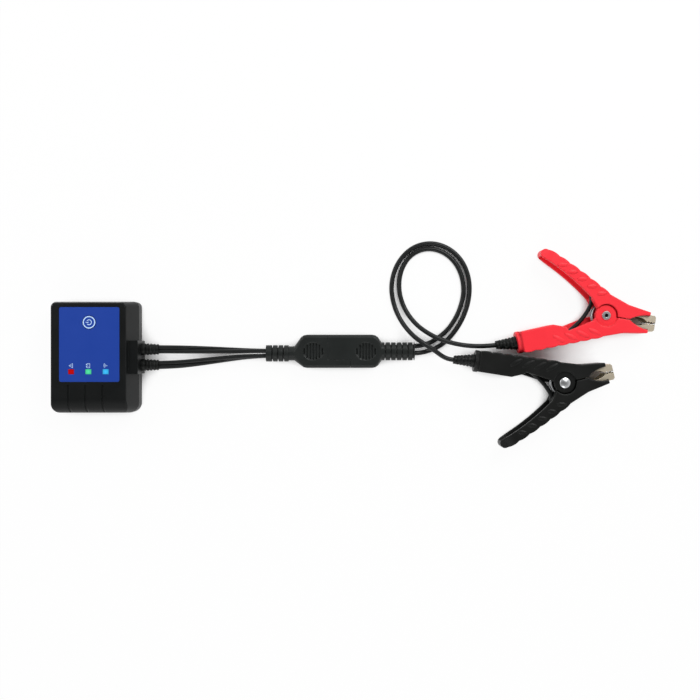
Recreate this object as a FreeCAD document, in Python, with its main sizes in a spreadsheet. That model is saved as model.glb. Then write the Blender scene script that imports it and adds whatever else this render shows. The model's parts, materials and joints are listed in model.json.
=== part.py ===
"""Hand-held battery tester with a pull-apart lead set and two spring clamps (millimetres, +Z up).

The origin is the centre of the tester box's base. The box's cables leave along +X, and everything
lies on the plane z = 0.
"""
import FreeCAD, Part
import math
import os
import re
import Sketcher

Vector = FreeCAD.Vector
doc = FreeCAD.newDocument("battery_tester")
sheet = doc.addObject("Spreadsheet::Sheet", "sizes")

SIZES = [
    # tester box
    ("box_width", 64.2), ("box_length", 80.8), ("bottom_height", 10.0), ("top_height", 16.0),
    ("side_slope", 5.5), ("back_slope", 1.5), ("nose_slope", 1.0), ("nose_radius", 12.0),
    ("nose_corner", 7.0), ("back_corner", 4.0), ("top_edge", 1.2), ("base_edge", 1.0),
    ("wall", 2.0), ("roof", 2.0), ("floor", 2.0), ("cover_gap", 0.1), ("nose_hollow", 7.2),
    ("grip_width", 1.6), ("grip_depth", 0.8), ("grip_pitch", 12.2), ("grip_centre", -2.2),
    ("grip_start", 19.5),
    # label, button and windows
    ("label_width", 43.0), ("label_length", 53.3), ("label_x", 0.7), ("label_back", 4.65),
    ("label_corner", 1.5), ("label_thickness", 0.5),
    ("button_x", 0.65), ("button_back", 15.55), ("button_diameter", 9.2), ("button_gap", 0.3),
    ("button_proud", 0.3), ("button_flange", 1.2), ("button_rim", 1.2), ("button_travel", 0.5),
    ("window_width", 4.3), ("window_length", 3.7), ("window_pitch", 12.25), ("window_x", 0.05),
    ("window_front", 7.35), ("window_rim", 0.8),
    # board and what is on it
    ("board_side", 8.1), ("board_length", 63.0), ("board_y", 3.0), ("board_height", 15.0),
    ("board_thickness", 1.6), ("screw_inset", 4.5),
    ("screw_diameter", 3.0), ("screw_gap", 0.2), ("screw_bite", 5.0), ("screw_head", 5.6),
    ("screw_head_height", 2.0), ("screw_sink", 2.6), ("post_diameter", 7.5),
    ("switch_size", 6.0), ("switch_height", 3.5), ("plunger_diameter", 3.4), ("plunger_gap", 0.3),
    ("led_diameter", 3.0), ("led_gap", 0.3),
    ("radio_width", 12.0), ("radio_length", 15.0), ("radio_height", 2.2), ("radio_back", 11.25),
    ("radio_gap", 2.35),
    ("chip_size", 9.0), ("chip_height", 1.2),
    ("resistor_length", 25.0), ("resistor_width", 6.5),
    ("transistor_width", 10.0), ("transistor_length", 9.0), ("transistor_height", 4.5),
    ("tab_length", 6.0), ("tab_height", 1.3),
    ("capacitor_diameter", 8.0), ("capacitor_height", 11.0),
    ("terminal_width", 3.0), ("terminal_depth", 4.0), ("terminal_inset", 9.0),
    ("inner_wire", 2.4),
    # cable exits
    ("exit_pitch", 11.4), ("exit_depth", 8.5), ("exit_width", 24.0), ("exit_height", 13.0),
    ("exit_proud", 2.3),
    ("relief_length", 12.0), ("relief_root", 9.0), ("relief_tip", 7.6), ("relief_neck", 7.4),
    ("relief_flange", 9.6), ("relief_flange_length", 2.0), ("relief_groove", 1.3),
    ("relief_groove_depth", 0.7), ("core_diameter", 3.1),
    # pull-apart connector
    ("plug_start", 124.5), ("plug_y", 4.25), ("plug_z", 6.6), ("plug_width", 24.2),
    ("plug_thickness", 13.0), ("plug_corner", 2.6), ("plug_block", 17.8), ("plug_flare", 6.7),
    ("plug_neck", 4.4), ("neck_diameter", 10.4), ("boot_length", 16.3), ("boot_diameter", 12.0),
    ("tongue_width", 5.9), ("tongue_length", 16.3), ("seam_gap", 0.1), ("contact_pitch", 5.9),
    ("pin_diameter", 3.4), ("pin_length", 12.0), ("pin_root", 6.0), ("pin_gap", 0.1),
    ("sleeve_diameter", 4.8), ("sleeve_length", 14.0), ("sleeve_setback", 1.0),
    ("socket_block", 18.5), ("socket_flare", 4.4), ("socket_boot", 24.0), ("socket_boot_width", 13.2),
    ("boot_groove", 1.0), ("boot_groove_depth", 1.6), ("boot_groove_pitch", 4.1),
    ("thumb_length", 15.6), ("thumb_width", 13.6), ("thumb_rib_pitch", 2.2), ("thumb_groove", 1.0),
    ("thumb_depth", 1.5), ("thumb_dish", 0.9), ("thumb_rim", 0.7), ("plug_round", 6.0), ("boot_flat", 0.1),
    ("boot_drop", 1.5), ("cable_spacing", 3.7), ("cable_sag", 2.0), ("lead_rise", 1.3),
    ("lead_spacing", 5.2),
    # clamps, in the clamp's own frame: along = towards the jaws, pivot at zero
    ("clamp_thickness", 18.0), ("shell_wall", 2.2), ("ear_radius", 7.6), ("ear_thickness", 1.8),
    ("ear_gap", 0.3), ("ear_drop", 1.8), ("ear_reach", 16.0), ("ear_clear", 0.6),
    ("rivet_diameter", 4.4), ("rivet_gap", 0.1), ("rivet_head", 7.8), ("rivet_head_height", 1.4),
    ("rivet_tail", 6.2), ("rivet_tail_height", 0.8), ("rivet_bore", 2.8), ("rivet_bore_depth", 3.0),
    ("rivet_rim", 0.42),
    ("nose_reach", 31.0), ("nose_out", 7.6), ("nose_in", 5.2), ("nose_bow", 1.2), ("neck_reach", 14.5),
    ("neck_out", 10.2), ("shoulder_out", 15.4), ("front_in", 0.3), ("root_back", 12.5),
    ("free_root_out", 10.6), ("lead_root_out", 3.6),
    ("red_free_angle", 26.6), ("black_free_angle", 22.1),
    ("free_length", 54.6), ("free_depth", 7.0), ("free_bow", 1.4), ("grip_bow", 0.8),
    ("lead_angle", 21.2), ("lead_length", 57.4), ("lead_depth", 15.0),
    ("tube_back", 36.8), ("tube_out", 13.1), ("mouth_back", 28.0), ("tube_roof", 2.0),
    ("grip_wave", 8.7), ("wave_height", 0.7),
    ("jaw_tip", 36.0), ("jaw_root", 17.0), ("jaw_sheet", 1.2), ("jaw_play", 0.2), ("jaw_bite", 0.2),
    ("jaw_lip", 5.8), ("tooth_pitch", 1.9), ("tooth_height", 1.0), ("tooth_run", 7.0), ("jaw_eye", 2.4),
    ("spring_wire", 1.5), ("spring_radius", 8.7), ("spring_pitch", 2.0), ("spring_reach", 20.0),
    ("spring_gap", 0.3), ("jumper_diameter", 2.8), ("jumper_gap", 0.8),
    ("disc_diameter", 16.0), ("disc_thickness", 3.2),
    ("clamp_boot_length", 15.0), ("clamp_boot_root", 10.0), ("clamp_boot_tip", 6.0),
    ("clamp_boot_plug", 7.0), ("clamp_boot_lean", 1.3),
    ("clamp_boot_groove", 1.2), ("clamp_boot_groove_depth", 0.9),
    ("red_pivot_x", 370.6), ("red_pivot_y", 30.1), ("red_angle", -9.9),
    ("black_pivot_x", 340.9), ("black_pivot_y", -18.5), ("black_angle", 13.3),
    ("lead_diameter", 3.4), ("lead_start_run", 4.0), ("lead_end_run", 5.0),
]
for row, (alias, number) in enumerate(SIZES, start=1):
    sheet.set("A%d" % row, alias)
    sheet.set("B%d" % row, str(number))
    sheet.setAlias("B%d" % row, alias)
doc.recompute()
size = {alias: float(sheet.get(alias)) for alias, number in SIZES}

# formulas that several pieces share
NAMED = {
    "box_height": "(bottom_height + top_height)",
    "board_top": "(board_height + board_thickness)",
    "roof_under": "(bottom_height + top_height - roof)",
    "plug_seam": "(plug_start + boot_length + plug_neck + plug_flare + plug_block)",
    "seam_y": "(tongue_width - plug_width / 2)",
    "label_z": "(bottom_height + top_height - label_thickness)",
    "label_y": "(box_length / 2 - label_back - label_length / 2)",
    "button_y": "(box_length / 2 - button_back)",
    "window_y": "(box_length / 2 - label_back - label_length + window_front)",
    "board_width": "(box_width - 2 * board_side)",
    "screw_x": "(box_width / 2 - board_side - screw_inset)",
    "screw_back": "(board_length / 2 + board_y - screw_inset)",
    "screw_front": "(board_length / 2 - board_y - screw_inset)",
    "exit_face": "(box_width / 2 + exit_proud)",
    "terminal_x": "(box_width / 2 - board_side - terminal_inset)",
}


def formula(text):
    """Write out the shared formulas and point every size at its cell."""
    for name, meaning in NAMED.items():
        text = re.sub(r"\b%s\b" % name, meaning, text)

    def cell(word):
        return "sizes." + word.group() if word.group() in size else word.group()

    return re.sub(r"[a-z_]+", cell, text)


def value(text):
    """The number that a formula of sizes gives."""
    return float(sheet.evalExpression(formula(str(text))))


def bind(item, **formulas):
    """Bind properties of an object to formulas of sizes; double underscores stand for dots."""
    for prop, text in formulas.items():
        item.setExpression(prop.replace("__", "."), formula(str(text)))
    return item


def place(item, x="0", y="0", z="0"):
    return bind(item, Placement__Base__x=x, Placement__Base__y=y, Placement__Base__z=z)


# parts that are written out at the end, in order
NODES = []


def node(label, item):
    item.Label = label
    NODES.append(item)
    return item


# sketches and features of a body

def new_body(label):
    return node(label, doc.addObject("PartDesign::Body", label))


def sketch_on(body, role, x="0", y="0", z="0"):
    """An empty sketch on one of the body's own planes, moved by formulas in the plane's own axes."""
    sketch = body.newObject("Sketcher::SketchObject", body.Name + "_sketch")
    plane = next(item for item in body.Origin.OriginFeatures if item.Role == role)
    sketch.AttachmentSupport = [(plane, "")]
    sketch.MapMode = "FlatFace"
    return bind(sketch, AttachmentOffset__Base__x=x, AttachmentOffset__Base__y=y, AttachmentOffset__Base__z=z)


def dimension(sketch, kind, *where, to):
    """A driving dimension bound to a formula."""
    index = sketch.addConstraint(Sketcher.Constraint(kind, *where, value(to)))
    sketch.setExpression("Constraints[%d]" % index, formula(str(to)))


def tie(sketch, kind, *where):
    sketch.addConstraint(Sketcher.Constraint(kind, *where))


def add_lines(sketch, points):
    """A closed run of lines, end to end."""
    first = sketch.GeometryCount
    ends = points[1:] + points[:1]
    for begin, end in zip(points, ends):
        sketch.addGeometry(Part.LineSegment(Vector(*begin, 0), Vector(*end, 0)))
    count = len(points)
    for i in range(count):
        tie(sketch, "Coincident", first + i, 2, first + (i + 1) % count, 1)
    return first


def rectangle(sketch, width, depth, x="0", y="0"):
    """A rectangle about (x, y) of the sketch."""
    left = "-(%s) + (%s) / 2" % (x, width)
    low = "-(%s) + (%s) / 2" % (y, depth)
    x0, y0 = -value(left), -value(low)
    x1, y1 = x0 + value(width), y0 + value(depth)
    first = add_lines(sketch, [(x0, y0), (x1, y0), (x1, y1), (x0, y1)])
    for side, kind in enumerate(("Horizontal", "Vertical", "Horizontal", "Vertical")):
        tie(sketch, kind, first + side)
    dimension(sketch, "DistanceX", first, 1, first, 2, to=width)
    dimension(sketch, "DistanceY", first + 1, 1, first + 1, 2, to=depth)
    dimension(sketch, "DistanceX", first, 1, -1, 1, to=left)
    dimension(sketch, "DistanceY", first, 1, -1, 1, to=low)


def circle(sketch, diameter, x="0", y="0"):
    centre = Vector(value(x), value(y), 0)
    index = sketch.addGeometry(Part.Circle(centre, Vector(0, 0, 1), value(diameter) / 2))
    dimension(sketch, "Diameter", index, to=diameter)
    dimension(sketch, "DistanceX", -1, 1, index, 3, to=x)
    dimension(sketch, "DistanceY", -1, 1, index, 3, to=y)


def rounded(sketch, left, right, low, high, low_radius, high_radius):
    """A rectangle from left to right and low to high, with one radius at its low corners and one above."""
    x0, x1, y0, y1 = value(left), value(right), value(low), value(high)
    r0, r1 = value(low_radius), value(high_radius)
    corners = [((x1, y0), r0, -90), ((x1, y1), r1, 0), ((x0, y1), r1, 90), ((x0, y0), r0, 180)]
    stops = [(x0 + r0, y0), (x1 - r0, y0), (x1, y0 + r0), (x1, y1 - r1),
             (x1 - r1, y1), (x0 + r1, y1), (x0, y1 - r1), (x0, y0 + r0)]
    first = sketch.GeometryCount
    for i, ((x, y), radius, start) in enumerate(corners):
        line = Part.LineSegment(Vector(*stops[2 * i], 0), Vector(*stops[2 * i + 1], 0))
        sketch.addGeometry(line)
        inward = math.radians(start + 45)
        centre = Vector(x - math.copysign(radius, math.cos(inward)),
                        y - math.copysign(radius, math.sin(inward)), 0)
        ring = Part.Circle(centre, Vector(0, 0, 1), radius)
        sketch.addGeometry(Part.ArcOfCircle(ring, math.radians(start), math.radians(start + 90)))
    for i in range(4):
        line, arc, following = first + 2 * i, first + 2 * i + 1, first + (2 * i + 2) % 8
        tie(sketch, "Tangent", line, 2, arc, 1)
        tie(sketch, "Tangent", arc, 2, following, 1)
        tie(sketch, "Vertical" if i % 2 else "Horizontal", line)
    tie(sketch, "Equal", first + 1, first + 7)
    tie(sketch, "Equal", first + 3, first + 5)
    dimension(sketch, "Radius", first + 1, to=low_radius)
    dimension(sketch, "Radius", first + 3, to=high_radius)
    dimension(sketch, "DistanceX", -1, 1, first + 6, 1, to=left)
    dimension(sketch, "DistanceX", -1, 1, first + 2, 1, to=right)
    dimension(sketch, "DistanceY", -1, 1, first, 1, to=low)
    dimension(sketch, "DistanceY", -1, 1, first + 4, 1, to=high)


def grow(body, kind, sketch, length=None, **options):
    """A pad or pocket; a pocket has to take something away and a pad has to add something."""
    before = 0.0 if body.Shape.isNull() else body.Shape.Volume
    feature = body.newObject("PartDesign::" + kind, body.Name + "_" + kind.lower())
    feature.Profile = sketch
    if length is not None:
        bind(feature, Length=length)
    for prop, setting in options.items():
        setattr(feature, prop, setting)
    doc.recompute()
    change = body.Shape.Volume - before
    if change == 0 or (change > 0) != (kind == "Pad"):
        raise RuntimeError("%s of %s changed the volume by %g" % (kind, body.Label, change))
    return feature


def loft(body, sketches, kind="AdditiveLoft"):
    feature = body.newObject("PartDesign::" + kind, body.Name + "_loft")
    feature.Profile = sketches[0]
    feature.Sections = sketches[1:]
    feature.Ruled = True
    doc.recompute()
    return feature


def dress(body, kind, prop, amount, chosen):
    """A fillet or chamfer on the edges of the body that the test chooses."""
    base = body.Tip
    edges = ["Edge%d" % (i + 1) for i, edge in enumerate(base.Shape.Edges) if chosen(edge)]
    feature = body.newObject("PartDesign::" + kind, body.Name + "_" + kind.lower())
    feature.Base = (base, edges)
    bind(feature, **{prop: amount})
    doc.recompute()
    return feature


def edges_at(height):
    level = value(height)
    return lambda edge: abs(edge.BoundBox.ZMin - level) < 1e-6 and abs(edge.BoundBox.ZMax - level) < 1e-6


# plain solids

def box(label, width, depth, height, x="0", y="0", z="0"):
    """A block centred on (x, y), standing at z."""
    item = bind(doc.addObject("Part::Box", label), Length=width, Width=depth, Height=height)
    return place(item, "(%s) - (%s) / 2" % (x, width), "(%s) - (%s) / 2" % (y, depth), z)


def cylinder(label, diameter, height, x="0", y="0", z="0", along=None):
    """A round bar from (x, y, z) upwards, or along another axis."""
    item = bind(doc.addObject("Part::Cylinder", label), Radius="(%s) / 2" % diameter, Height=height)
    if along is not None:
        item.Placement.Rotation = FreeCAD.Rotation(Vector(0, 0, 1), along)
    return place(item, x, y, z)


def cut(label, base, tool):
    item = doc.addObject("Part::Cut", label)
    item.Base, item.Tool = base, tool
    return item


def fuse(label, *pieces):
    item = doc.addObject("Part::MultiFuse", label)
    item.Shapes = list(pieces)
    return item


def group(label, pieces):
    """Identical pieces that share one file, still separate solids."""
    item = doc.addObject("Part::Compound", label)
    item.Links = pieces
    return node(label, item)


def solid(label, shape, placement=FreeCAD.Placement()):
    """A piece whose form is worked out here, in its own frame, and then placed."""
    item = doc.addObject("Part::Feature", label)
    item.Shape = shape
    item.Placement = placement
    return node(label, item)


# tester box

def exits():
    """Centres of the two cable exits: name and Y formula."""
    return [("upper", "exit_pitch / 2"), ("lower", "-exit_pitch / 2")]


def screws():
    """Centres of the four cover screws."""
    return [(x, y) for x in ("screw_x", "-screw_x") for y in ("screw_back", "-screw_front")]


def windows():
    """Name and X formula of the three windows."""
    return [("red", "window_x - window_pitch"), ("green", "window_x"), ("blue", "window_x + window_pitch")]


def case_outline(body, height, inset_side, inset_nose, inset_back, trim):
    """The case outline at a height, drawn in by an inset at each side."""
    sketch = sketch_on(body, "XY_Plane", z=height)
    half = "(box_width / 2 - (%s))" % inset_side
    rounded(sketch, "-" + half, half, "(%s) - box_length / 2" % inset_nose,
            "box_length / 2 - (%s)" % inset_back, "nose_corner - (%s)" % trim, "back_corner - (%s)" % trim)
    return sketch


def nose_profile(sketch):
    """All that lies above and in front of the rounded nose, in the YZ plane."""
    centre_y = value("nose_radius - box_length / 2")
    centre_z = value("box_height - nose_radius")
    r = value("nose_radius")
    margin = value("nose_radius / 4")
    ring = Part.Circle(Vector(centre_y, centre_z, 0), Vector(0, 0, 1), r)
    arc = sketch.addGeometry(Part.ArcOfCircle(ring, math.pi / 2, math.pi))
    corners = [(centre_y - r, centre_z), (centre_y - r - margin, centre_z),
               (centre_y - r - margin, centre_z + r + margin), (centre_y, centre_z + r + margin),
               (centre_y, centre_z + r)]
    lines = [sketch.addGeometry(Part.LineSegment(Vector(*a, 0), Vector(*b, 0)))
             for a, b in zip(corners, corners[1:])]
    tie(sketch, "Coincident", arc, 2, lines[0], 1)
    for a, b in zip(lines, lines[1:]):
        tie(sketch, "Coincident", a, 2, b, 1)
    tie(sketch, "Coincident", lines[3], 2, arc, 1)
    for line, kind in zip(lines, ("Horizontal", "Vertical", "Horizontal", "Vertical")):
        tie(sketch, kind, line)
    tie(sketch, "Vertical", arc, 3, arc, 1)
    tie(sketch, "Horizontal", arc, 3, arc, 2)
    dimension(sketch, "Radius", arc, to="nose_radius")
    dimension(sketch, "DistanceX", -1, 1, arc, 3, to="nose_radius - box_length / 2")
    dimension(sketch, "DistanceY", -1, 1, arc, 3, to="box_height - nose_radius")
    dimension(sketch, "DistanceX", lines[0], 2, lines[0], 1, to="nose_radius / 4")
    dimension(sketch, "DistanceY", lines[3], 2, lines[3], 1, to="nose_radius / 4")


def add_exit_block(body, z, height):
    """A block for the cable exits that stands out of the case's side."""
    sketch = sketch_on(body, "XY_Plane", x="exit_face - exit_depth / 2", z=z)
    rectangle(sketch, "exit_depth", "exit_width")
    grow(body, "Pad", sketch, height)


def cut_exits(body):
    """Half-round seats for the strain reliefs, through the exit block."""
    sketch = sketch_on(body, "YZ_Plane", y="bottom_height", z="exit_face - exit_depth")
    for name, y in exits():
        circle(sketch, "relief_neck", y)
    grow(body, "Pocket", sketch, "exit_depth", Reversed=True)


def make_top_cover():
    body = new_body("top_cover")
    outer = [case_outline(body, "bottom_height", "0", "0", "0", "0"),
             case_outline(body, "box_height", "side_slope", "nose_slope", "back_slope", "top_edge / 2")]
    loft(body, outer)
    sketch = sketch_on(body, "YZ_Plane")
    nose_profile(sketch)
    grow(body, "Pocket", sketch, Type="ThroughAll", SideType="Symmetric")
    at_top = edges_at("box_height")
    dress(body, "Fillet", "Radius", "top_edge",
          lambda edge: at_top(edge) and edge.BoundBox.YMax > 0 > edge.BoundBox.YMin)
    inner = [case_outline(body, "bottom_height", "wall", "wall", "wall", "wall"),
             case_outline(body, "roof_under", "wall + side_slope", "wall + nose_hollow", "wall + back_slope",
                          "wall")]
    loft(body, inner, "SubtractiveLoft")
    add_exit_block(body, "bottom_height", "exit_height")
    cut_exits(body)
    bosses = sketch_on(body, "XY_Plane", z="board_top")
    for x, y in screws():
        circle(bosses, "post_diameter", x, y)
    grow(body, "Pad", bosses, "roof_under - board_top")
    bores = sketch_on(body, "XY_Plane", z="board_top")
    for x, y in screws():
        circle(bores, "screw_diameter", x, y)
    grow(body, "Pocket", bores, "screw_bite", Reversed=True)
    recess = sketch_on(body, "XY_Plane", z="box_height")
    rounded(recess, "label_x - label_width / 2", "label_x + label_width / 2", "label_y - label_length / 2",
            "label_y + label_length / 2", "label_corner", "label_corner")
    grow(body, "Pocket", recess, "label_thickness")
    holes = sketch_on(body, "XY_Plane", z="box_height")
    circle(holes, "button_diameter + 2 * button_gap", "button_x", "button_y")
    for name, x in windows():
        rectangle(holes, "window_width", "window_length", x, "window_y")
    grow(body, "Pocket", holes, "roof")
    for step in (-1, 0, 1):
        groove = sketch_on(body, "YZ_Plane", z="grip_centre + %d * grip_pitch" % step)
        grip_profile(groove)
        grow(body, "Pocket", groove, "grip_width", SideType="Symmetric")
    return body


def grip_profile(sketch):
    """A thumb groove's side view: along the top from its start, then down round the nose."""
    r = value("nose_radius - grip_depth")
    y, z = value("nose_radius - box_length / 2"), value("box_height - nose_radius")
    start = -value("grip_start")
    top, front = value("box_height + grip_depth"), y - value("nose_radius + grip_depth")
    ring = Part.Circle(Vector(y, z, 0), Vector(0, 0, 1), r)
    arc = sketch.addGeometry(Part.ArcOfCircle(ring, math.pi / 2, math.pi))
    corners = [(y - r, z), (front, z), (front, top), (start, top), (start, z + r), (y, z + r)]
    lines = [sketch.addGeometry(Part.LineSegment(Vector(*a, 0), Vector(*b, 0)))
             for a, b in zip(corners, corners[1:])]
    tie(sketch, "Coincident", arc, 2, lines[0], 1)
    for a, b in zip(lines, lines[1:]):
        tie(sketch, "Coincident", a, 2, b, 1)
    tie(sketch, "Tangent", lines[4], 2, arc, 1)
    for line, kind in zip(lines, ("Horizontal", "Vertical", "Horizontal", "Vertical", "Horizontal")):
        tie(sketch, kind, line)
    tie(sketch, "Horizontal", arc, 3, arc, 2)
    dimension(sketch, "Radius", arc, to="nose_radius - grip_depth")
    dimension(sketch, "DistanceX", -1, 1, arc, 3, to="nose_radius - box_length / 2")
    dimension(sketch, "DistanceY", -1, 1, arc, 3, to="box_height - nose_radius")
    dimension(sketch, "DistanceX", -1, 1, lines[3], 1, to="-grip_start")
    dimension(sketch, "DistanceY", -1, 1, lines[2], 1, to="box_height + grip_depth")
    dimension(sketch, "DistanceX", lines[0], 2, lines[0], 1, to="2 * grip_depth")


def make_bottom_cover():
    body = new_body("bottom_cover")
    grow(body, "Pad", case_outline(body, "0", "0", "0", "0", "0"), "bottom_height")
    dress(body, "Chamfer", "Size", "base_edge", edges_at("0"))
    hollow = case_outline(body, "bottom_height", "wall", "wall", "wall", "wall")
    grow(body, "Pocket", hollow, "bottom_height - floor")
    add_exit_block(body, "floor", "bottom_height - floor")
    cut_exits(body)
    posts = sketch_on(body, "XY_Plane", z="floor")
    for x, y in screws():
        circle(posts, "post_diameter", x, y)
    grow(body, "Pad", posts, "board_height - floor")
    bores = sketch_on(body, "XY_Plane")
    sinks = sketch_on(body, "XY_Plane")
    for x, y in screws():
        circle(bores, "screw_diameter + 2 * screw_gap", x, y)
        circle(sinks, "screw_head + 2 * screw_gap", x, y)
    grow(body, "Pocket", bores, "board_height", Reversed=True)
    grow(body, "Pocket", sinks, "screw_sink", Reversed=True)
    return body


def make_label():
    body = new_body("label_overlay")
    sketch = sketch_on(body, "XY_Plane", z="label_z")
    rounded(sketch, "label_x - label_width / 2 + cover_gap", "label_x + label_width / 2 - cover_gap",
            "label_y - label_length / 2 + cover_gap", "label_y + label_length / 2 - cover_gap",
            "label_corner", "label_corner")
    grow(body, "Pad", sketch, "label_thickness")
    holes = sketch_on(body, "XY_Plane", z="label_z")
    circle(holes, "button_diameter + 2 * button_gap", "button_x", "button_y")
    for name, x in windows():
        rectangle(holes, "window_width", "window_length", x, "window_y")
    grow(body, "Pocket", holes, "label_thickness", Reversed=True)


def make_windows():
    """Each window is a light guide with a rim under the roof."""
    for name, x in windows():
        body = new_body("led_window_" + name)
        rim = sketch_on(body, "XY_Plane", x=x, y="window_y", z="roof_under - window_rim")
        rectangle(rim, "window_width + 2 * window_rim", "window_length + 2 * window_rim")
        grow(body, "Pad", rim, "window_rim")
        guide = sketch_on(body, "XY_Plane", x=x, y="window_y", z="roof_under")
        rectangle(guide, "window_width - 2 * cover_gap", "window_length - 2 * cover_gap")
        grow(body, "Pad", guide, "roof")


def make_power_button():
    """A round key held under the roof by its flange; its stem rests on the switch's plunger."""
    body = new_body("power_button")
    flange = sketch_on(body, "XY_Plane", x="button_x", y="button_y",
                       z="roof_under - cover_gap - button_flange")
    circle(flange, "button_diameter + 2 * button_rim")
    grow(body, "Pad", flange, "button_flange")
    cap = sketch_on(body, "XY_Plane", x="button_x", y="button_y", z="roof_under - cover_gap")
    circle(cap, "button_diameter")
    grow(body, "Pad", cap, "roof + cover_gap + button_proud")
    dress(body, "Fillet", "Radius", "button_proud", edges_at("box_height + button_proud"))


def make_board():
    body = new_body("circuit_board")
    sketch = sketch_on(body, "XY_Plane", y="board_y", z="board_height")
    rectangle(sketch, "board_width", "board_length")
    grow(body, "Pad", sketch, "board_thickness")
    holes = sketch_on(body, "XY_Plane", z="board_height")
    for x, y in screws():
        circle(holes, "screw_diameter + 2 * screw_gap", x, y)
    grow(body, "Pocket", holes, "board_thickness", Reversed=True)


def make_screws():
    """Pan-head screws from below, through posts and board into the top cover's bosses."""
    pieces = []
    for i, (x, y) in enumerate(screws()):
        head = cylinder("screw_head_%d" % i, "screw_head", "screw_head_height", x, y,
                        "screw_sink - screw_head_height")
        shank = cylinder("screw_shank_%d" % i, "screw_diameter", "board_top + screw_bite - screw_sink", x, y,
                         "screw_sink")
        pieces.append(fuse("screw_%d" % i, head, shank))
    group("cover_screws", pieces)


def make_switch():
    body = box("switch_body", "switch_size", "switch_size", "switch_height",
               "button_x", "button_y", "board_top")
    bore = cylinder("switch_bore", "plunger_diameter + 2 * plunger_gap", "switch_height - 2 * button_travel",
                    "button_x", "button_y", "board_top + 2 * button_travel")
    node("power_switch", cut("power_switch", body, bore))
    plunger_foot = "board_top + 4 * button_travel"
    node("power_switch_plunger",
         cylinder("power_switch_plunger", "plunger_diameter",
                  "roof_under - cover_gap - button_flange - (%s)" % plunger_foot,
                  "button_x", "button_y", plunger_foot))


def make_board_pieces():
    leds = []
    for name, x in windows():
        height = "roof_under - window_rim - led_gap - led_diameter / 2 - board_top"
        stem = cylinder("led_stem_" + name, "led_diameter", height, x, "window_y", "board_top")
        dome = bind(doc.addObject("Part::Sphere", "led_dome_" + name), Radius="led_diameter / 2")
        place(dome, x, "window_y", "board_top + " + height)
        leds.append(fuse("led_" + name, stem, dome))
    group("status_leds", leds)
    node("radio_module", box("radio_module", "radio_width", "radio_length", "radio_height",
                             "button_x + switch_size / 2 + radio_gap + radio_width / 2",
                             "board_y + board_length / 2 - radio_length / 2 - radio_back", "board_top"))
    node("controller_chip", box("controller_chip", "chip_size", "chip_size", "chip_height",
                                "0", "board_y", "board_top"))
    node("load_resistor", box("load_resistor", "resistor_width", "resistor_length", "resistor_width",
                              "resistor_width - board_width / 2", "board_y",
                              "board_height - resistor_width"))
    block = box("transistor_block", "transistor_width", "transistor_length", "transistor_height", "0",
                "board_y + board_length / 4", "board_height - transistor_height")
    tab = box("transistor_tab", "transistor_width", "tab_length", "tab_height", "0",
              "board_y + board_length / 4 + transistor_length / 2 + tab_length / 2",
              "board_height - tab_height")
    node("load_transistor", fuse("load_transistor", block, tab))
    capacitor = cylinder("smoothing_capacitor", "capacitor_diameter", "capacitor_height",
                         "0", "board_y - board_length / 4", "board_height - capacitor_height")
    node("smoothing_capacitor", capacitor)


def make_terminals():
    """Four terminal posts under the board, each met by a short wire from a strain relief."""
    posts, wires = [], []
    wire_start = "terminal_x + terminal_depth / 2"
    for name, y in exits():
        for side in ("-", "+"):
            core = "%s %s core_diameter / 2" % (y, side)
            label = name + ("_low" if side == "-" else "_high")
            posts.append(box("terminal_" + label, "terminal_depth", "terminal_width",
                             "board_height - bottom_height + inner_wire", "terminal_x", core,
                             "bottom_height - inner_wire"))
            length = "exit_face - exit_depth - relief_flange_length - (%s)" % wire_start
            wires.append(cylinder("wire_" + label, "inner_wire", length, wire_start, core, "bottom_height",
                                  Vector(1, 0, 0)))
    group("wire_terminals", posts)
    group("inner_wires", wires)


def ring_grooves(body, sketch, starts, width, outer, depth):
    """Square ring grooves round the sketch's horizontal axis."""
    for start in starts:
        rectangle(sketch, width, "2 * (%s)" % depth, "%s + (%s) / 2" % (start, width), outer)
    feature = body.newObject("PartDesign::Groove", body.Name + "_grooves")
    feature.Profile = sketch
    feature.ReferenceAxis = (sketch, ["H_Axis"])
    feature.Angle = 360
    before = body.Shape.Volume
    doc.recompute()
    if body.Shape.Volume >= before:
        raise RuntimeError("grooves of %s cut nothing" % body.Label)


def make_strain_reliefs():
    """Rubber sleeves with a neck in the exit block and a flange inside it."""
    for name, y in exits():
        body = new_body(name + "_strain_relief")
        face = "exit_face"
        stations = [("%s - exit_depth - relief_flange_length" % face, "relief_flange"),
                    ("%s - exit_depth" % face, "relief_neck"), (face, "relief_root")]
        lengths = ["relief_flange_length", "exit_depth", None]
        for (x, diameter), length in zip(stations[:2], lengths):
            disc = sketch_on(body, "YZ_Plane", y, "bottom_height", x)
            circle(disc, diameter)
            grow(body, "Pad", disc, length)
        ends = [sketch_on(body, "YZ_Plane", y, "bottom_height", face),
                sketch_on(body, "YZ_Plane", y, "bottom_height", face + " + relief_length")]
        circle(ends[0], "relief_root")
        circle(ends[1], "relief_tip")
        loft(body, ends)
        side = sketch_on(body, "XZ_Plane", face, "bottom_height", "-(%s)" % y)
        starts = ["%d * relief_length / 5" % i for i in (1, 2, 3, 4)]
        ring_grooves(body, side, starts, "relief_groove", "relief_tip / 2 + relief_groove_depth / 2",
                     "relief_groove_depth")


make_top_cover()
make_bottom_cover()
make_label()
make_windows()
make_power_button()
make_board()
make_screws()
make_switch()
make_board_pieces()
make_terminals()
make_strain_reliefs()


# pull-apart connector, along X; its tester half ends in a tongue and its lead half in a wide block

SEAM = "plug_seam"
TONGUE_END = "plug_seam + tongue_length"


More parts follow.
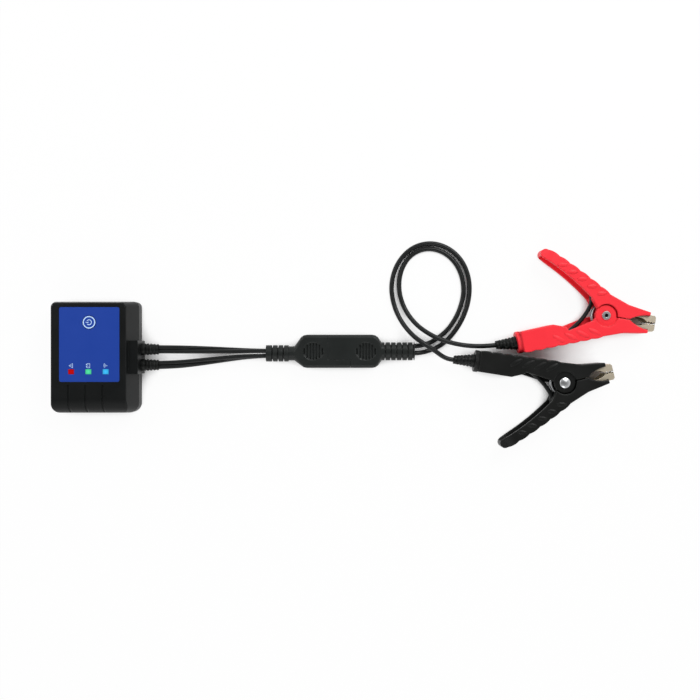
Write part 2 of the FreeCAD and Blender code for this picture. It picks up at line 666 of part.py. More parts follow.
def section(body, x, width, thickness, corner, y="plug_y"):
    """A rounded cross-section of the connector at x, centred on its axis or on another line."""
    sketch = sketch_on(body, "YZ_Plane", y, "plug_z", x)
    rounded(sketch, "-(%s) / 2" % width, "(%s) / 2" % width,
            "-(%s) / 2" % thickness, "(%s) / 2" % thickness, corner, corner)
    return sketch


# where a round between the flare and the block has its sections: distance into the block and loss of width,
# both as shares of the round's radius
FLARE_ROUND = [(-0.30, 0.61), (0.03, 0.16), (0.42, 0.0)]


def shoulder(body, corner_x, direction, width, thickness, corner):
    """Cross-sections that round the plan corner between a flare and the full block."""
    sections = []
    for into, loss in FLARE_ROUND:
        share = "(%.2f * plug_round / (plug_width - %s))" % (loss, width)
        sections.append(section(body, "%s + %.2f * plug_round" % (corner_x, into * direction),
                                "plug_width - %.2f * plug_round" % loss,
                                "plug_thickness - (plug_thickness - %s) * %s" % (thickness, share),
                                "plug_corner + (%s - plug_corner) * %s" % (corner, share)))
    return sections


def side_block(body, x, length, left, right, reverse=False):
    """A block of the connector's full thickness between two distances from its axis, running on from x."""
    sketch = sketch_on(body, "YZ_Plane", "plug_y", "plug_z", x)
    half = "plug_thickness / 2"
    rounded(sketch, left, right, "-" + half, half, "plug_corner", "plug_corner")
    grow(body, "Pad", sketch, length, Reversed=reverse)


def bore(body, x, diameter, length, centres, reverse=False):
    """Round holes along the connector, from x towards +X or, reversed, towards -X."""
    sketch = sketch_on(body, "YZ_Plane", "plug_y", "plug_z", x)
    for y in centres:
        circle(sketch, diameter, y)
    grow(body, "Pocket", sketch, length, Reversed=not reverse)


def contact_rows():
    """Distances of the contacts from the connector's axis: the tongue's one, then the block's three."""
    tongue = "(tongue_width - plug_width) / 2"
    return tongue, ["%s + %d * contact_pitch" % (tongue, i) for i in (1, 2, 3)]


def thumb_grip(body, centre_x):
    """An oval dish for the thumb on the top face, with straight grooves across its floor."""
    top = "plug_z + plug_thickness / 2"
    dish = body.newObject("PartDesign::SubtractiveEllipsoid", "thumb_dish")
    place(dish, centre_x, "plug_y", top)
    bind(dish, Radius1="thumb_dish", Radius2="thumb_length / 2", Radius3="thumb_width / 2")
    sketch = sketch_on(body, "XY_Plane", centre_x, "plug_y", top)
    half = size["thumb_length"] / 2 - size["thumb_rim"]
    count = int(half / size["thumb_rib_pitch"])
    for i in range(-count, count + 1):
        chord = math.sqrt(1 - (i * size["thumb_rib_pitch"] / half) ** 2)
        rectangle(sketch, "thumb_groove", "(thumb_width - 2 * thumb_rim) * %.4f" % chord,
                  "%d * thumb_rib_pitch" % i)
    grow(body, "Pocket", sketch, "thumb_depth")


def boot_grooves(body, start, count, diameter, y="plug_y"):
    """Flex grooves round a boot, evenly spaced from start."""
    sketch = sketch_on(body, "XZ_Plane", start, "plug_z", "-(%s)" % y)
    starts = ["%d * boot_groove_pitch" % i for i in range(count)]
    ring_grooves(body, sketch, starts, "boot_groove", "(%s) / 2" % diameter, "boot_groove_depth")


def make_tester_connector():
    body = new_body("tester_connector_housing")
    neck = "plug_start + boot_length"
    flare = neck + " + plug_neck"
    block = flare + " + plug_flare"
    round_boot = ("boot_diameter", "boot_diameter", "(boot_diameter / 2 - boot_flat)")
    round_neck = ("neck_diameter", "neck_diameter", "(neck_diameter / 2 - boot_flat)")
    full = ("plug_width", "plug_thickness", "plug_corner")
    loft(body, [section(body, x, *round_boot, y="plug_y - boot_drop") for x in ("plug_start", neck)])
    loft(body, [section(body, x, *round_neck, y="plug_y - boot_drop") for x in (neck, flare)]
         + shoulder(body, block, 1, *round_neck) + [section(body, SEAM, *full)])
    tongue, three = contact_rows()
    side_block(body, SEAM, "tongue_length", "-plug_width / 2", "seam_y")
    bore(body, SEAM, "pin_diameter", "pin_root", three, reverse=True)
    bore(body, TONGUE_END, "sleeve_diameter", "sleeve_setback + sleeve_length", [tongue], reverse=True)
    boot_grooves(body, "plug_start + boot_groove_pitch", 3, "boot_diameter", "plug_y - boot_drop")
    thumb_grip(body, block + " + plug_block / 2 - plug_flare / 4")
    pins = [cylinder("tester_pin_%d" % i, "pin_diameter", "pin_root + pin_length", SEAM + " - pin_root",
                     "plug_y + " + y, "plug_z", Vector(1, 0, 0)) for i, y in enumerate(three)]
    group("tester_connector_pins", pins)
    sleeve_x = TONGUE_END + " - sleeve_setback - sleeve_length"
    node("tester_connector_sleeve", sleeve("tester_sleeve", sleeve_x, tongue))


def sleeve(label, x, y):
    """A contact tube that a pin runs into, from x towards +X."""
    y = "plug_y + " + y
    outer = cylinder(label + "_outer", "sleeve_diameter", "sleeve_length", x, y, "plug_z", Vector(1, 0, 0))
    inner = cylinder(label + "_bore", "pin_diameter + 2 * pin_gap", "sleeve_length", x, y, "plug_z",
                     Vector(1, 0, 0))
    return cut(label, outer, inner)


def make_lead_connector():
    body = new_body("lead_connector_housing")
    face = TONGUE_END + " + seam_gap"
    flare = "plug_seam + tongue_length + socket_block"
    boot = flare + " + socket_flare"
    full = ("plug_width", "plug_thickness", "plug_corner")
    end = ("socket_boot_width", "boot_diameter", "(boot_diameter / 2 - boot_flat)")
    loft(body, [section(body, face, *full)] + shoulder(body, flare, -1, *end)[::-1]
         + [section(body, boot, *end), section(body, boot + " + socket_boot", *end)])
    side_block(body, face, "tongue_length", "seam_y + seam_gap", "plug_width / 2", reverse=True)
    tongue, three = contact_rows()
    mouth = "plug_seam + seam_gap"
    bore(body, mouth, "sleeve_diameter", "sleeve_setback + sleeve_length", three)
    bore(body, face, "pin_diameter", "pin_root", [tongue])
    boot_grooves(body, boot + " + boot_groove_pitch / 2", 6, "socket_boot_width")
    thumb_grip(body, flare + " - socket_block / 2 + socket_flare / 2")
    group("lead_connector_sleeves", [sleeve("lead_sleeve_%d" % i, mouth + " + sleeve_setback", y)
                                     for i, y in enumerate(three)])
    node("lead_connector_pin", cylinder("lead_connector_pin", "pin_diameter", "pin_root + pin_length",
                                        face + " - pin_length", "plug_y + " + tongue, "plug_z",
                                        Vector(1, 0, 0)))


# flat twin cables from the box to the connector, turning from flat to on edge

def twin_section(centre, along, across):
    """Outline of two cores side by side: two straight sides and two round ends of two quarter arcs."""
    radius = size["core_diameter"] / 2
    edges = []
    for side in (1, -1):
        middle = centre + along * (side * radius)
        begin, end = middle - across * (side * radius), middle + across * (side * radius)
        tip = middle + along * (side * radius)
        for a, b, turn in ((begin, tip, -1), (tip, end, 1)):
            bisector = (along * side + across * (side * turn)).normalize()
            edges.append(Part.Arc(a, middle + bisector * radius, b).toShape())
        other = centre - along * (side * radius) + across * (side * radius)
        edges.append(Part.LineSegment(end, other).toShape())
    return Part.Wire(edges)


def make_twin_cables():
    start_x = value("exit_face + relief_length")
    end_x = value("plug_start")
    steps = 9
    for (name, y), side in zip(exits(), (1, -1)):
        begin = Vector(start_x, value(y), value("bottom_height"))
        end = Vector(end_x, value("plug_y - boot_drop") + side * size["cable_spacing"] / 2, size["plug_z"])
        wires = []
        for i in range(steps + 1):
            share = i / steps
            ease = share * share * (3 - 2 * share)
            sag = size["cable_sag"] * math.sin(math.pi * share) ** 2
            centre = Vector(begin.x + (end.x - begin.x) * share, begin.y + (end.y - begin.y) * ease,
                            begin.z + (end.z - begin.z) * ease - sag)
            turn = side * ease * math.pi / 2
            wires.append(twin_section(centre, Vector(0, math.cos(turn), math.sin(turn)),
                                      Vector(0, -math.sin(turn), math.cos(turn))))
        shape = Part.makeLoft(wires, True, True)
        solid(name + "_tester_cable", shape)


make_tester_connector()
make_lead_connector()
make_twin_cables()


# clamps, each in its own frame: X towards the jaws, the rivet along Z at the origin

def turned(angle):
    """Directions along a handle towards its end and from its grip edge inwards, above the axis."""
    a = math.radians(angle)
    return Vector(-math.cos(a), math.sin(a), 0), Vector(-math.sin(a), -math.cos(a), 0)


def line(a, b):
    return Part.LineSegment(a, b).toShape()


def arc(a, through, b):
    return Part.Arc(a, through, b).toShape()


def handle_face(angle, length, depth, inner, bow, round_end):
    """Side view of a handle above the clamp's axis: nose, shoulder, waved grip, end and inner edge."""
    along, inward = turned(angle)
    nose_in = Vector(size["nose_reach"], size["nose_in"], 0)
    nose_out = Vector(size["nose_reach"], size["nose_out"], 0)
    neck = Vector(size["neck_reach"], size["neck_out"], 0)
    shoulder = Vector(0, size["shoulder_out"], 0)
    edges = [line(nose_in, nose_out), line(nose_out, neck), line(neck, shoulder)]
    waves = max(1, round(length / size["grip_wave"]))
    at = shoulder
    for i in range(1, waves + 1):
        share = i / waves
        following = shoulder + along * (length * share) - inward * (4 * bow * share * (1 - share))
        edges.append(arc(at, (at + following) * 0.5 - inward * size["wave_height"], following))
        at = following
    end = at + inward * depth
    if round_end:
        edges.append(arc(at, at + inward * (depth / 2) + along * (depth / 2), end))
        edges.append(arc(end, (end + inner[0]) * 0.5 - inward * size["free_bow"], inner[0]))
    else:
        edges += [line(at, end), line(end, inner[0])]
    heel = Vector(-size["root_back"] / 3, size["front_in"], 0)
    mouth = Vector(size["jaw_root"], size["front_in"], 0)
    edges += [line(a, b) for a, b in zip(inner + [heel], inner[1:] + [heel, mouth])]
    edges.append(arc(mouth, (mouth + nose_in) * 0.5 + Vector(0, size["nose_bow"], 0), nose_in))
    return Part.Face(Part.Wire(edges))


def shell_shift(angle):
    """How far the hollow of a handle is moved in from its outside."""
    along, inward = turned(angle)
    return (inward - along) * size["shell_wall"]


def slab(face, low, high):
    """A face stretched through the thickness from low to high."""
    lowered = face.copy()
    lowered.translate(Vector(0, 0, low))
    return lowered.extrude(Vector(0, 0, high - low))


def both_sides(face, inner, outer):
    return [slab(face, inner, outer), slab(face, -outer, -inner)]


def disc(radius, low, high):
    return Part.makeCylinder(radius, high - low, Vector(0, 0, low), Vector(0, 0, 1))


def handle(angle, face, ear_outer, flange_floor):
    """A moulded channel with two ears inside it, drilled for the rivet."""
    half = size["clamp_thickness"] / 2
    hollow = face.copy()
    hollow.translate(shell_shift(angle))
    inside = half - size["shell_wall"]
    shape = slab(face, -half, half).cut(slab(hollow, -inside, inside))
    clear = size["ear_radius"] + size["ear_clear"]
    shape = shape.cut([disc(clear, flange_floor, half), disc(clear, -half, -flange_floor)])
    ear_inner = ear_outer - size["ear_thickness"]
    root = face.common(Part.Face(Part.Wire(Part.makeCircle(size["ear_reach"]))))
    eye = Part.Face(Part.Wire(Part.makeCircle(size["ear_radius"])))
    shape = shape.fuse(both_sides(root, ear_inner, ear_outer) + both_sides(eye, ear_inner, ear_outer))
    return shape.cut(disc(size["rivet_diameter"] / 2 + size["rivet_gap"], -half, half)).removeSplitter()


def ear_faces():
    """Outer faces of the lead handle's ears and, inside them, of the free handle's ears."""
    lead = size["clamp_thickness"] / 2 - size["ear_drop"]
    return lead, lead - size["ear_thickness"] - size["ear_gap"]


def free_handle(angle):
    inner = [Vector(-size["root_back"], size["free_root_out"], 0)]
    face = handle_face(angle, size["free_length"], size["free_depth"], inner, size["grip_bow"], True)
    floor_level = size["clamp_thickness"] / 2 - size["shell_wall"]
    return handle(angle, face, ear_faces()[1], floor_level)


def lead_handle_end():
    """Centre of the lead handle's end, above the axis, and the direction out of it."""
    along, inward = turned(size["lead_angle"])
    corner = Vector(0, size["shoulder_out"], 0) + along * size["lead_length"]
    return corner + inward * (size["lead_depth"] / 2), along


def lead_handle():
    """Like the free handle, with its rear closed to a tube and a round end plate for the boot."""
    tube = Vector(-size["tube_back"], size["tube_out"], 0)
    mouth = Vector(-size["mouth_back"], size["tube_out"], 0)
    face = handle_face(size["lead_angle"], size["lead_length"], size["lead_depth"],
                       [tube, mouth, Vector(-size["root_back"], size["lead_root_out"], 0)], 0, False)
    half = size["clamp_thickness"] / 2
    shape = handle(size["lead_angle"], face, ear_faces()[0], ear_faces()[0])
    centre, along = lead_handle_end()
    inward = turned(size["lead_angle"])[1]
    end = centre + inward * (size["lead_depth"] / 2)
    outwards = -inward * size["tube_roof"]
    roof = Part.Face(Part.makePolygon([end, tube, tube + outwards, end + outwards, end]))
    shape = shape.fuse(slab(roof, -half + size["shell_wall"] / 2, half - size["shell_wall"] / 2))
    back = centre - along * size["shell_wall"]
    shape = shape.fuse(Part.makeCylinder(size["disc_diameter"] / 2, size["disc_thickness"], centre, along))
    plug = size["clamp_boot_plug"] / 2
    reach = size["disc_thickness"] + 2 * size["shell_wall"]
    shape = shape.cut(Part.makeCylinder(plug, reach, back - along * size["shell_wall"], along))
    return below(shape.removeSplitter())


def below(shape):
    """The same piece on the other side of the clamp's axis."""
    return shape.mirror(Vector(0, 0, 0), Vector(0, 1, 0))


def jaw():
    """A folded metal jaw: back, two cheeks with teeth and an eye behind them, and a front plate."""
    shift = shell_shift(max(size["red_free_angle"], size["black_free_angle"]))
    slope = (size["nose_out"] - size["neck_out"]) / (size["nose_reach"] - size["neck_reach"])

    def under_nose(x):
        return size["nose_out"] + shift.y + (x - size["nose_reach"] - shift.x) * slope - size["jaw_play"]

    root, tip, lip, bite = (size["jaw_" + name] for name in ("root", "tip", "lip", "bite"))
    reach = size["nose_reach"] + size["jaw_play"]
    points = [Vector(root, under_nose(root), 0), Vector(reach, under_nose(reach), 0), Vector(reach, lip, 0),
              Vector(tip - size["jaw_sheet"], lip, 0), Vector(tip, lip - size["jaw_sheet"], 0),
              Vector(tip, bite, 0)]
    teeth = int(size["tooth_run"] / size["tooth_pitch"])
    for i in range(teeth):
        valley = tip - (i + 0.5) * size["tooth_pitch"]
        points.append(Vector(valley, bite + size["tooth_height"], 0))
        points.append(Vector(valley - size["tooth_pitch"] / 2, bite, 0))
    edges = [line(a, b) for a, b in zip(points, points[1:])]
    heel = Vector(root, bite + size["tooth_height"], 0)
    crown = (points[-1] + heel) * 0.5 + Vector(0, size["jaw_eye"], 0)
    edges += [arc(points[-1], crown, heel), line(heel, points[0])]
    face = Part.Face(Part.Wire(edges))
    hollow = face.copy()
    hollow.translate(Vector(-size["jaw_sheet"], -size["jaw_sheet"], 0))
    cheek = size["clamp_thickness"] / 2 - size["shell_wall"] - size["jaw_play"]
    inside = cheek - size["jaw_sheet"]
    return slab(face, -cheek, cheek).cut(slab(hollow, -inside, inside)).removeSplitter()


def rivet():
    """A tubular rivet: domed head below, shank through all four ears, rolled tail above."""
    seat = ear_faces()[0]
    head, shank, tail, hole = (size["rivet_" + name] / 2 for name in ("head", "diameter", "tail", "bore"))
    top, bottom = seat + size["rivet_tail_height"], -seat - size["rivet_head_height"]
    bore_floor = top - size["rivet_bore_depth"]
    edge = -seat - size["rivet_rim"]
    points = [Vector(0, 0, bore_floor), Vector(hole, 0, bore_floor), Vector(hole, 0, top),
              Vector(tail, 0, top), Vector(tail, 0, seat), Vector(shank, 0, seat), Vector(shank, 0, -seat),
              Vector(head, 0, -seat), Vector(head, 0, edge)]
    edges = [line(a, b) for a, b in zip(points, points[1:])]
    rise = edge - bottom
    ball = (head * head + rise * rise) / (2 * rise)
    lift = math.sqrt(ball * ball - head * head / 4)
    dome = Vector(head / 2, 0, bottom + ball - lift)
    edges += [arc(points[-1], dome, Vector(0, 0, bottom)), line(Vector(0, 0, bottom), points[0])]
    return Part.Face(Part.Wire(edges)).revolve(Vector(0, 0, 0), Vector(0, 0, 1), 360)


def biarc(p, t, q, u):
    """Two arcs that leave p along t and reach q along u, joined without a kink."""
    span, both = q - p, t + u
    a = 2 * (1 - t.dot(u))
    b = span.dot(both)
    reach = (math.sqrt(b * b + a * span.dot(span)) - b) / a
    first, second = p + t * reach, q - u * reach
    joint = (first + second) * 0.5
    pieces = []
    for begin, corner, end in ((p, first, joint), (joint, second, q)):
        weight = (end - begin).Length / 2 / reach
        pieces.append(arc(begin, (begin + corner * (2 * weight) + end) * (1 / (2 + 2 * weight)), end))
    return pieces


# how far a tube's volume may lie from its length times its section
VOLUME_DRIFT = 0.01


def tube_along(edges, diameter):
    """A round tube on a smooth run of edges."""
    path = Part.Wire(edges)
    start = edges[0].Vertexes[0].Point
    tangent = edges[0].tangentAt(edges[0].FirstParameter)
    ring = Part.Wire(Part.makeCircle(diameter / 2, start, tangent))
    shape = path.makePipeShell([ring], True, False)
    drift = shape.Volume / (math.pi * diameter ** 2 / 4 * path.Length) - 1
    if abs(drift) > VOLUME_DRIFT:
        raise RuntimeError("tube volume is off by %.3f" % drift)
    return shape


def back_wall(angle, x, bow):
    """Height above the axis of the inside of a handle's back wall at x."""
    along, inward = turned(angle)
    start = Vector(0, size["shoulder_out"], 0) + shell_shift(angle)
    run = (x - start.x) / along.x
    share = run / size["free_length"]
    return start.y + along.y * run - inward.y * 4 * bow * share * (1 - share)


def spring_leg_end(angle, side, bow):
    """Where a spring leg bears on a handle's back wall."""
    stand_off = size["spring_wire"] / 2 / math.cos(math.radians(angle)) + size["spring_gap"]
    x = -size["spring_reach"]
    return Vector(x, side * (back_wall(angle, x, bow) - stand_off), 0)


# full turns in the spring's coil
SPRING_TURNS = 2


def spring(free_angle):
    """A torsion spring round the rivet, from the lead handle's back to the free handle's back."""
    radius = size["spring_radius"]
    ends = [spring_leg_end(size["lead_angle"], -1, 0), spring_leg_end(free_angle, 1, size["grip_bow"])]
    touch = [math.acos(radius / end.Length) for end in ends]
    start = math.atan2(ends[0].y, ends[0].x) + touch[0]
    stop = math.atan2(ends[1].y, ends[1].x) - touch[1]
    stop += 2 * math.pi * SPRING_TURNS
    while stop - start < 2 * math.pi * SPRING_TURNS:
        stop += 2 * math.pi
    rate = size["spring_pitch"] / (2 * math.pi)
    rise = rate * (stop - start)
    quarters = math.ceil((stop - start) / (math.pi / 2))

    def station(i):
        turn = start + (stop - start) * i / quarters
        slope = 0 if i in (0, quarters) else rate
        at = Vector(radius * math.cos(turn), radius * math.sin(turn), rise * (i / quarters - 0.5))
        return at, Vector(-radius * math.sin(turn), radius * math.cos(turn), slope).normalize()

    stations = [station(i) for i in range(quarters + 1)]
    edges = [line(ends[0] + Vector(0, 0, -rise / 2), stations[0][0])]
    for (p, t), (q, u) in zip(stations, stations[1:]):
        edges += biarc(p, t, q, u)
    edges.append(line(stations[-1][0], ends[1] + Vector(0, 0, rise / 2)))
    return tube_along(edges, size["spring_wire"])


# share of the shorter neighbouring run that a cord's arc may take up at a corner
CORNER_SHARE = 0.45


def cord(label, points, diameter):
    """A cord of straight runs and arcs as large as the runs allow."""
    edges, at = [], points[0]
    for before, corner, after in zip(points, points[1:], points[2:]):
        back, ahead = before - corner, after - corner
        turn = math.pi - back.getAngle(ahead)
        cut_back = CORNER_SHARE * min(back.Length, ahead.Length)
        begin, end = corner + back.normalize() * cut_back, corner + ahead.normalize() * cut_back
        weight = math.cos(turn / 2)
        middle = (begin + corner * (2 * weight) + end) * (1 / (2 + 2 * weight))
        edges += [line(at, begin), arc(begin, middle, end)]
        at = end
    edges.append(line(at, points[-1]))
    print("%s: length %.1f" % (label, sum(edge.Length for edge in edges)))
    return tube_along(edges, diameter)


# the jumper between the two jaws of a clamp, from the free handle's back wall to the lead handle's
JUMPER_START = -13.0
JUMPER_ROUTE = [(-10.1, 10.8), (-10.5, 4.9), (-14.5, -4.7), (-21.3, -14.0), (-29.0, -22.4)]
JUMPER_LEVEL = 0.0


# ring grooves along a clamp's boot
CLAMP_BOOT_RINGS = 5


def make_clamp_boot(label, placement):
    """A ribbed rubber boot on the lead handle's end plate, with a plug through the plate."""
    body = new_body(label)
    plug = sketch_on(body, "YZ_Plane", z="-disc_thickness")
    circle(plug, "clamp_boot_plug")
    grow(body, "Pad", plug, "disc_thickness")
    ends = [sketch_on(body, "YZ_Plane"), sketch_on(body, "YZ_Plane", z="clamp_boot_length")]
    circle(ends[0], "clamp_boot_root")
    circle(ends[1], "clamp_boot_tip", "-clamp_boot_lean")
    loft(body, ends)
    for i in range(1, CLAMP_BOOT_RINGS + 1):
        share = i / (CLAMP_BOOT_RINGS + 1)
        side = sketch_on(body, "XZ_Plane", z="clamp_boot_lean * %.4f" % share)
        local = "(clamp_boot_root + (clamp_boot_tip - clamp_boot_root) * %.4f) / 2" % share
        ring_grooves(body, side, ["clamp_boot_length * %.4f" % share], "clamp_boot_groove", local,
                     "clamp_boot_groove_depth")
    body.Placement = placement


def make_clamp(colour, placement):
    """All the pieces of one clamp; returns where its lead ends and the direction out of its boot."""
    solid(colour + "_lead_handle", lead_handle(), placement)
    free_angle = size[colour + "_free_angle"]
    solid(colour + "_free_handle", free_handle(free_angle), placement)
    solid(colour + "_free_jaw", jaw(), placement)
    solid(colour + "_lead_jaw", below(jaw()), placement)
    solid(colour + "_pivot_rivet", rivet(), placement)
    solid(colour + "_spring", spring(free_angle), placement)
    start = (JUMPER_START, back_wall(free_angle, JUMPER_START, size["grip_bow"]) - size["jumper_gap"])
    route = [Vector(x, y, JUMPER_LEVEL) for x, y in [start] + JUMPER_ROUTE]
    solid(colour + "_jumper_wire", cord(colour + " jumper", route, size["jumper_diameter"]), placement)
    centre, along = lead_handle_end()
    plate = centre + along * size["disc_thickness"]
    plate.y, along.y = -plate.y, -along.y
    seat = FreeCAD.Placement(plate, FreeCAD.Rotation(Vector(1, 0, 0), along))
    make_clamp_boot(colour + "_lead_boot", placement.multiply(seat))
    length, lean = size["clamp_boot_length"], size["clamp_boot_lean"]
    reach = seat.Rotation.multVec(Vector(length, -lean, 0))
    reach *= 1 + size["lead_diameter"] / 2 * lean / length ** 2
    return placement.multVec(plate + reach), placement.Rotation.multVec(reach.normalize())


def clamp_placement(colour, turned_over):
    """A clamp lies flat; the black one is the red one turned over about its length."""
    place_at = Vector(size[colour + "_pivot_x"], size[colour + "_pivot_y"], size["clamp_thickness"] / 2)
    swing = FreeCAD.Rotation(Vector(0, 0, 1), size[colour + "_angle"])
    if turned_over:
        swing = swing.multiply(FreeCAD.Rotation(Vector(1, 0, 0), 180))
    return FreeCAD.Placement(place_at, swing)


# leads: out of the connector, once round a loop on the table, over their own starts and on to the clamps;
# x is counted from the end of the connector's boot
RED_ROUTE = [(12.1, 10.6, 3.9), (19.3, 15.1, 2.1), (27.1, 22.2, 1.9), (34.3, 35.1, 1.9), (37.5, 50.2, 1.9),
             (33.8, 65.7, 1.9), (24.1, 76.8, 1.9), (10.5, 80.9, 1.9), (-2.5, 75.9, 1.9), (-10.1, 63.5, 1.9),
             (-11.3, 48.7, 1.9), (-7.1, 35.4, 2.2), (0.6, 24.4, 5.2), (10.2, 17.0, 8.8), (21.0, 11.9, 9.6),
             (33.4, 8.9, 9.2), (44.5, 7.9, 9.0)]
BLACK_ROUTE = [(11.7, 4.8, 4.1), (19.7, 8.3, 2.1), (28.3, 16.0, 1.9), (36.2, 27.9, 1.9), (40.9, 42.1, 1.9),
               (41.3, 57.0, 1.9), (36.2, 70.9, 1.9), (26.0, 80.7, 1.9), (12.3, 84.8, 1.9),
               (-1.8, 81.0, 1.9), (-12.3, 69.7, 1.9), (-17.0, 54.5, 1.9), (-15.5, 40.0, 1.9),
               (-10.2, 27.1, 3.6), (-2.3, 16.5, 8.6), (5.4, 10.6, 11.6), (13.4, 5.6, 11.4)]


def make_lead(colour, side, route, tip, out):
    """A lead that starts square on the connector's boot and ends square on the clamp's boot."""
    start = Vector(value("plug_seam + tongue_length + socket_block + socket_flare + socket_boot"),
                   value("plug_y + lead_rise") + side * size["lead_spacing"] / 2, size["plug_z"])
    points = [start, start + Vector(size["lead_start_run"], 0, 0)]
    points += [Vector(start.x + x, y, z) for x, y, z in route]
    points += [tip + out * size["lead_end_run"], tip]
    solid(colour + "_lead", cord(colour + " lead", points, size["lead_diameter"]))


for colour, side, route, turned_over in (("red", 1, RED_ROUTE, False), ("black", -1, BLACK_ROUTE, True)):
    end_point, way_out = make_clamp(colour, clamp_placement(colour, turned_over))
    make_lead(colour, side, route, end_point, way_out)


def check_and_write():
    """Stop on anything that failed, then write each piece."""
    doc.recompute()
    for item in doc.Objects:
        if "Invalid" in item.State or "Error" in item.State:
            raise RuntimeError("%s failed: %s" % (item.Label, item.State))
    os.makedirs("parts", exist_ok=True)
    for item in NODES:
        shape = item.Shape
        if shape.isNull() or not shape.isValid() or not shape.Solids:
            raise RuntimeError("%s has no valid solid" % item.Label)
        shape.exportStep("parts/%s.step" % item.Label)
        box_now = shape.BoundBox
        print("%-26s %2d solids %9.1f mm3  x %.1f %.1f  y %.1f %.1f  z %.2f %.2f" % (
            item.Label, len(shape.Solids), shape.Volume, box_now.XMin, box_now.XMax,
            box_now.YMin, box_now.YMax, box_now.ZMin, box_now.ZMax))


check_and_write()
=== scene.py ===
# %% [markdown]
# # A battery tester and its clamp leads
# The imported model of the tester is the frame: it fixes every size and every joint. This lesson
# dresses that frame. Rigid pieces keep their modelled shape and gain rounded edges, the cables
# become real cables, and each piece gets a finish made of nodes.
# Lengths are in millimetres, as on a drawing, and `MM` turns them into Blender's metres. The few that
# are in metres say so.

# %% Load the frame
import json
import math

import bmesh
import bpy
from mathutils import Matrix, Vector

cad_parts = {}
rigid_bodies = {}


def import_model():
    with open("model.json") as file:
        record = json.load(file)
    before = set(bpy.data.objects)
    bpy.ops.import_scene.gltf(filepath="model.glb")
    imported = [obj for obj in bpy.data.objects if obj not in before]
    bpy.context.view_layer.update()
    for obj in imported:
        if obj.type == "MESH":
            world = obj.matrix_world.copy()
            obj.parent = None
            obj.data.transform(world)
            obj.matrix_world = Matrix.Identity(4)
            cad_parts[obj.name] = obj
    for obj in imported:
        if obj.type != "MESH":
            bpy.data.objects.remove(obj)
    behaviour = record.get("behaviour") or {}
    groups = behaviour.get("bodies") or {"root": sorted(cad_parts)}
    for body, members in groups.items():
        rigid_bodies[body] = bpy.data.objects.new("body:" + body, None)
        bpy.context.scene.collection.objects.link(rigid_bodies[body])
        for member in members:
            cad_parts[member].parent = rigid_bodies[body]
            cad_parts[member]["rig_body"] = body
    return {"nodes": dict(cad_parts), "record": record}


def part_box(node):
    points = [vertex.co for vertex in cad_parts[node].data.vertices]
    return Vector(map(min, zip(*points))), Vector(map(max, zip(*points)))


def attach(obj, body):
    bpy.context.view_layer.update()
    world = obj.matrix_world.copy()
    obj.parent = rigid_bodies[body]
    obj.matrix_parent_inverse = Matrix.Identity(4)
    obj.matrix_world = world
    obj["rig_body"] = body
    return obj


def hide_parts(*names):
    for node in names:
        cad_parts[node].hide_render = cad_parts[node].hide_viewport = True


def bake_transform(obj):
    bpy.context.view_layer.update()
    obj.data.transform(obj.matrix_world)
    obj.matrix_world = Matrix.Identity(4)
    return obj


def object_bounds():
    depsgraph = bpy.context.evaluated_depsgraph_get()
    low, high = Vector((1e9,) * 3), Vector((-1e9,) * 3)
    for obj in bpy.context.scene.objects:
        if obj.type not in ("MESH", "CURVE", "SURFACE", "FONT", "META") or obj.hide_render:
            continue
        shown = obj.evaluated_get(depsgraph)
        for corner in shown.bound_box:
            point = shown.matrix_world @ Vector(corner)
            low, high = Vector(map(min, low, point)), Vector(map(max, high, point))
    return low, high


MM = 0.001

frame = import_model()
nodes = frame["nodes"]
cad_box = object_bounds()

# %% [markdown]
# ## Camera
# The photograph looks straight down on the tester, with a little perspective: the raised clamps
# look larger than the cables on the floor. A camera without any turn looks along -Z with +Y up,
# so only its place and its lens have to be found.

# %% Set up the camera
CAMERA_PLACE = Vector((185.8, 5.2, 629.0)) * MM
CAMERA_LENS = 43.7
SENSOR_WIDTH = 36.0


def add_object(name, data):
    """A new object with its data, in the scene."""
    thing = bpy.data.objects.new(name, data)
    bpy.context.scene.collection.objects.link(thing)
    return thing


camera_data = bpy.data.cameras.new("camera_above")
camera_data.lens = CAMERA_LENS
camera_data.sensor_width = SENSOR_WIDTH
camera = add_object("camera_above", camera_data)
camera.location = CAMERA_PLACE
bpy.context.scene.camera = camera
print("camera at", tuple(round(c, 3) for c in camera.location))

# %% [markdown]
# ## Building node trees
# Finishes and repeated shapes are both node trees here. One small class holds a tree. It adds a
# node, sets its properties, and then fills its inputs: a socket is linked, and anything else becomes
# the input's own value. The kinds of node that come back most have a short way of their own, which
# gives the socket that matters.

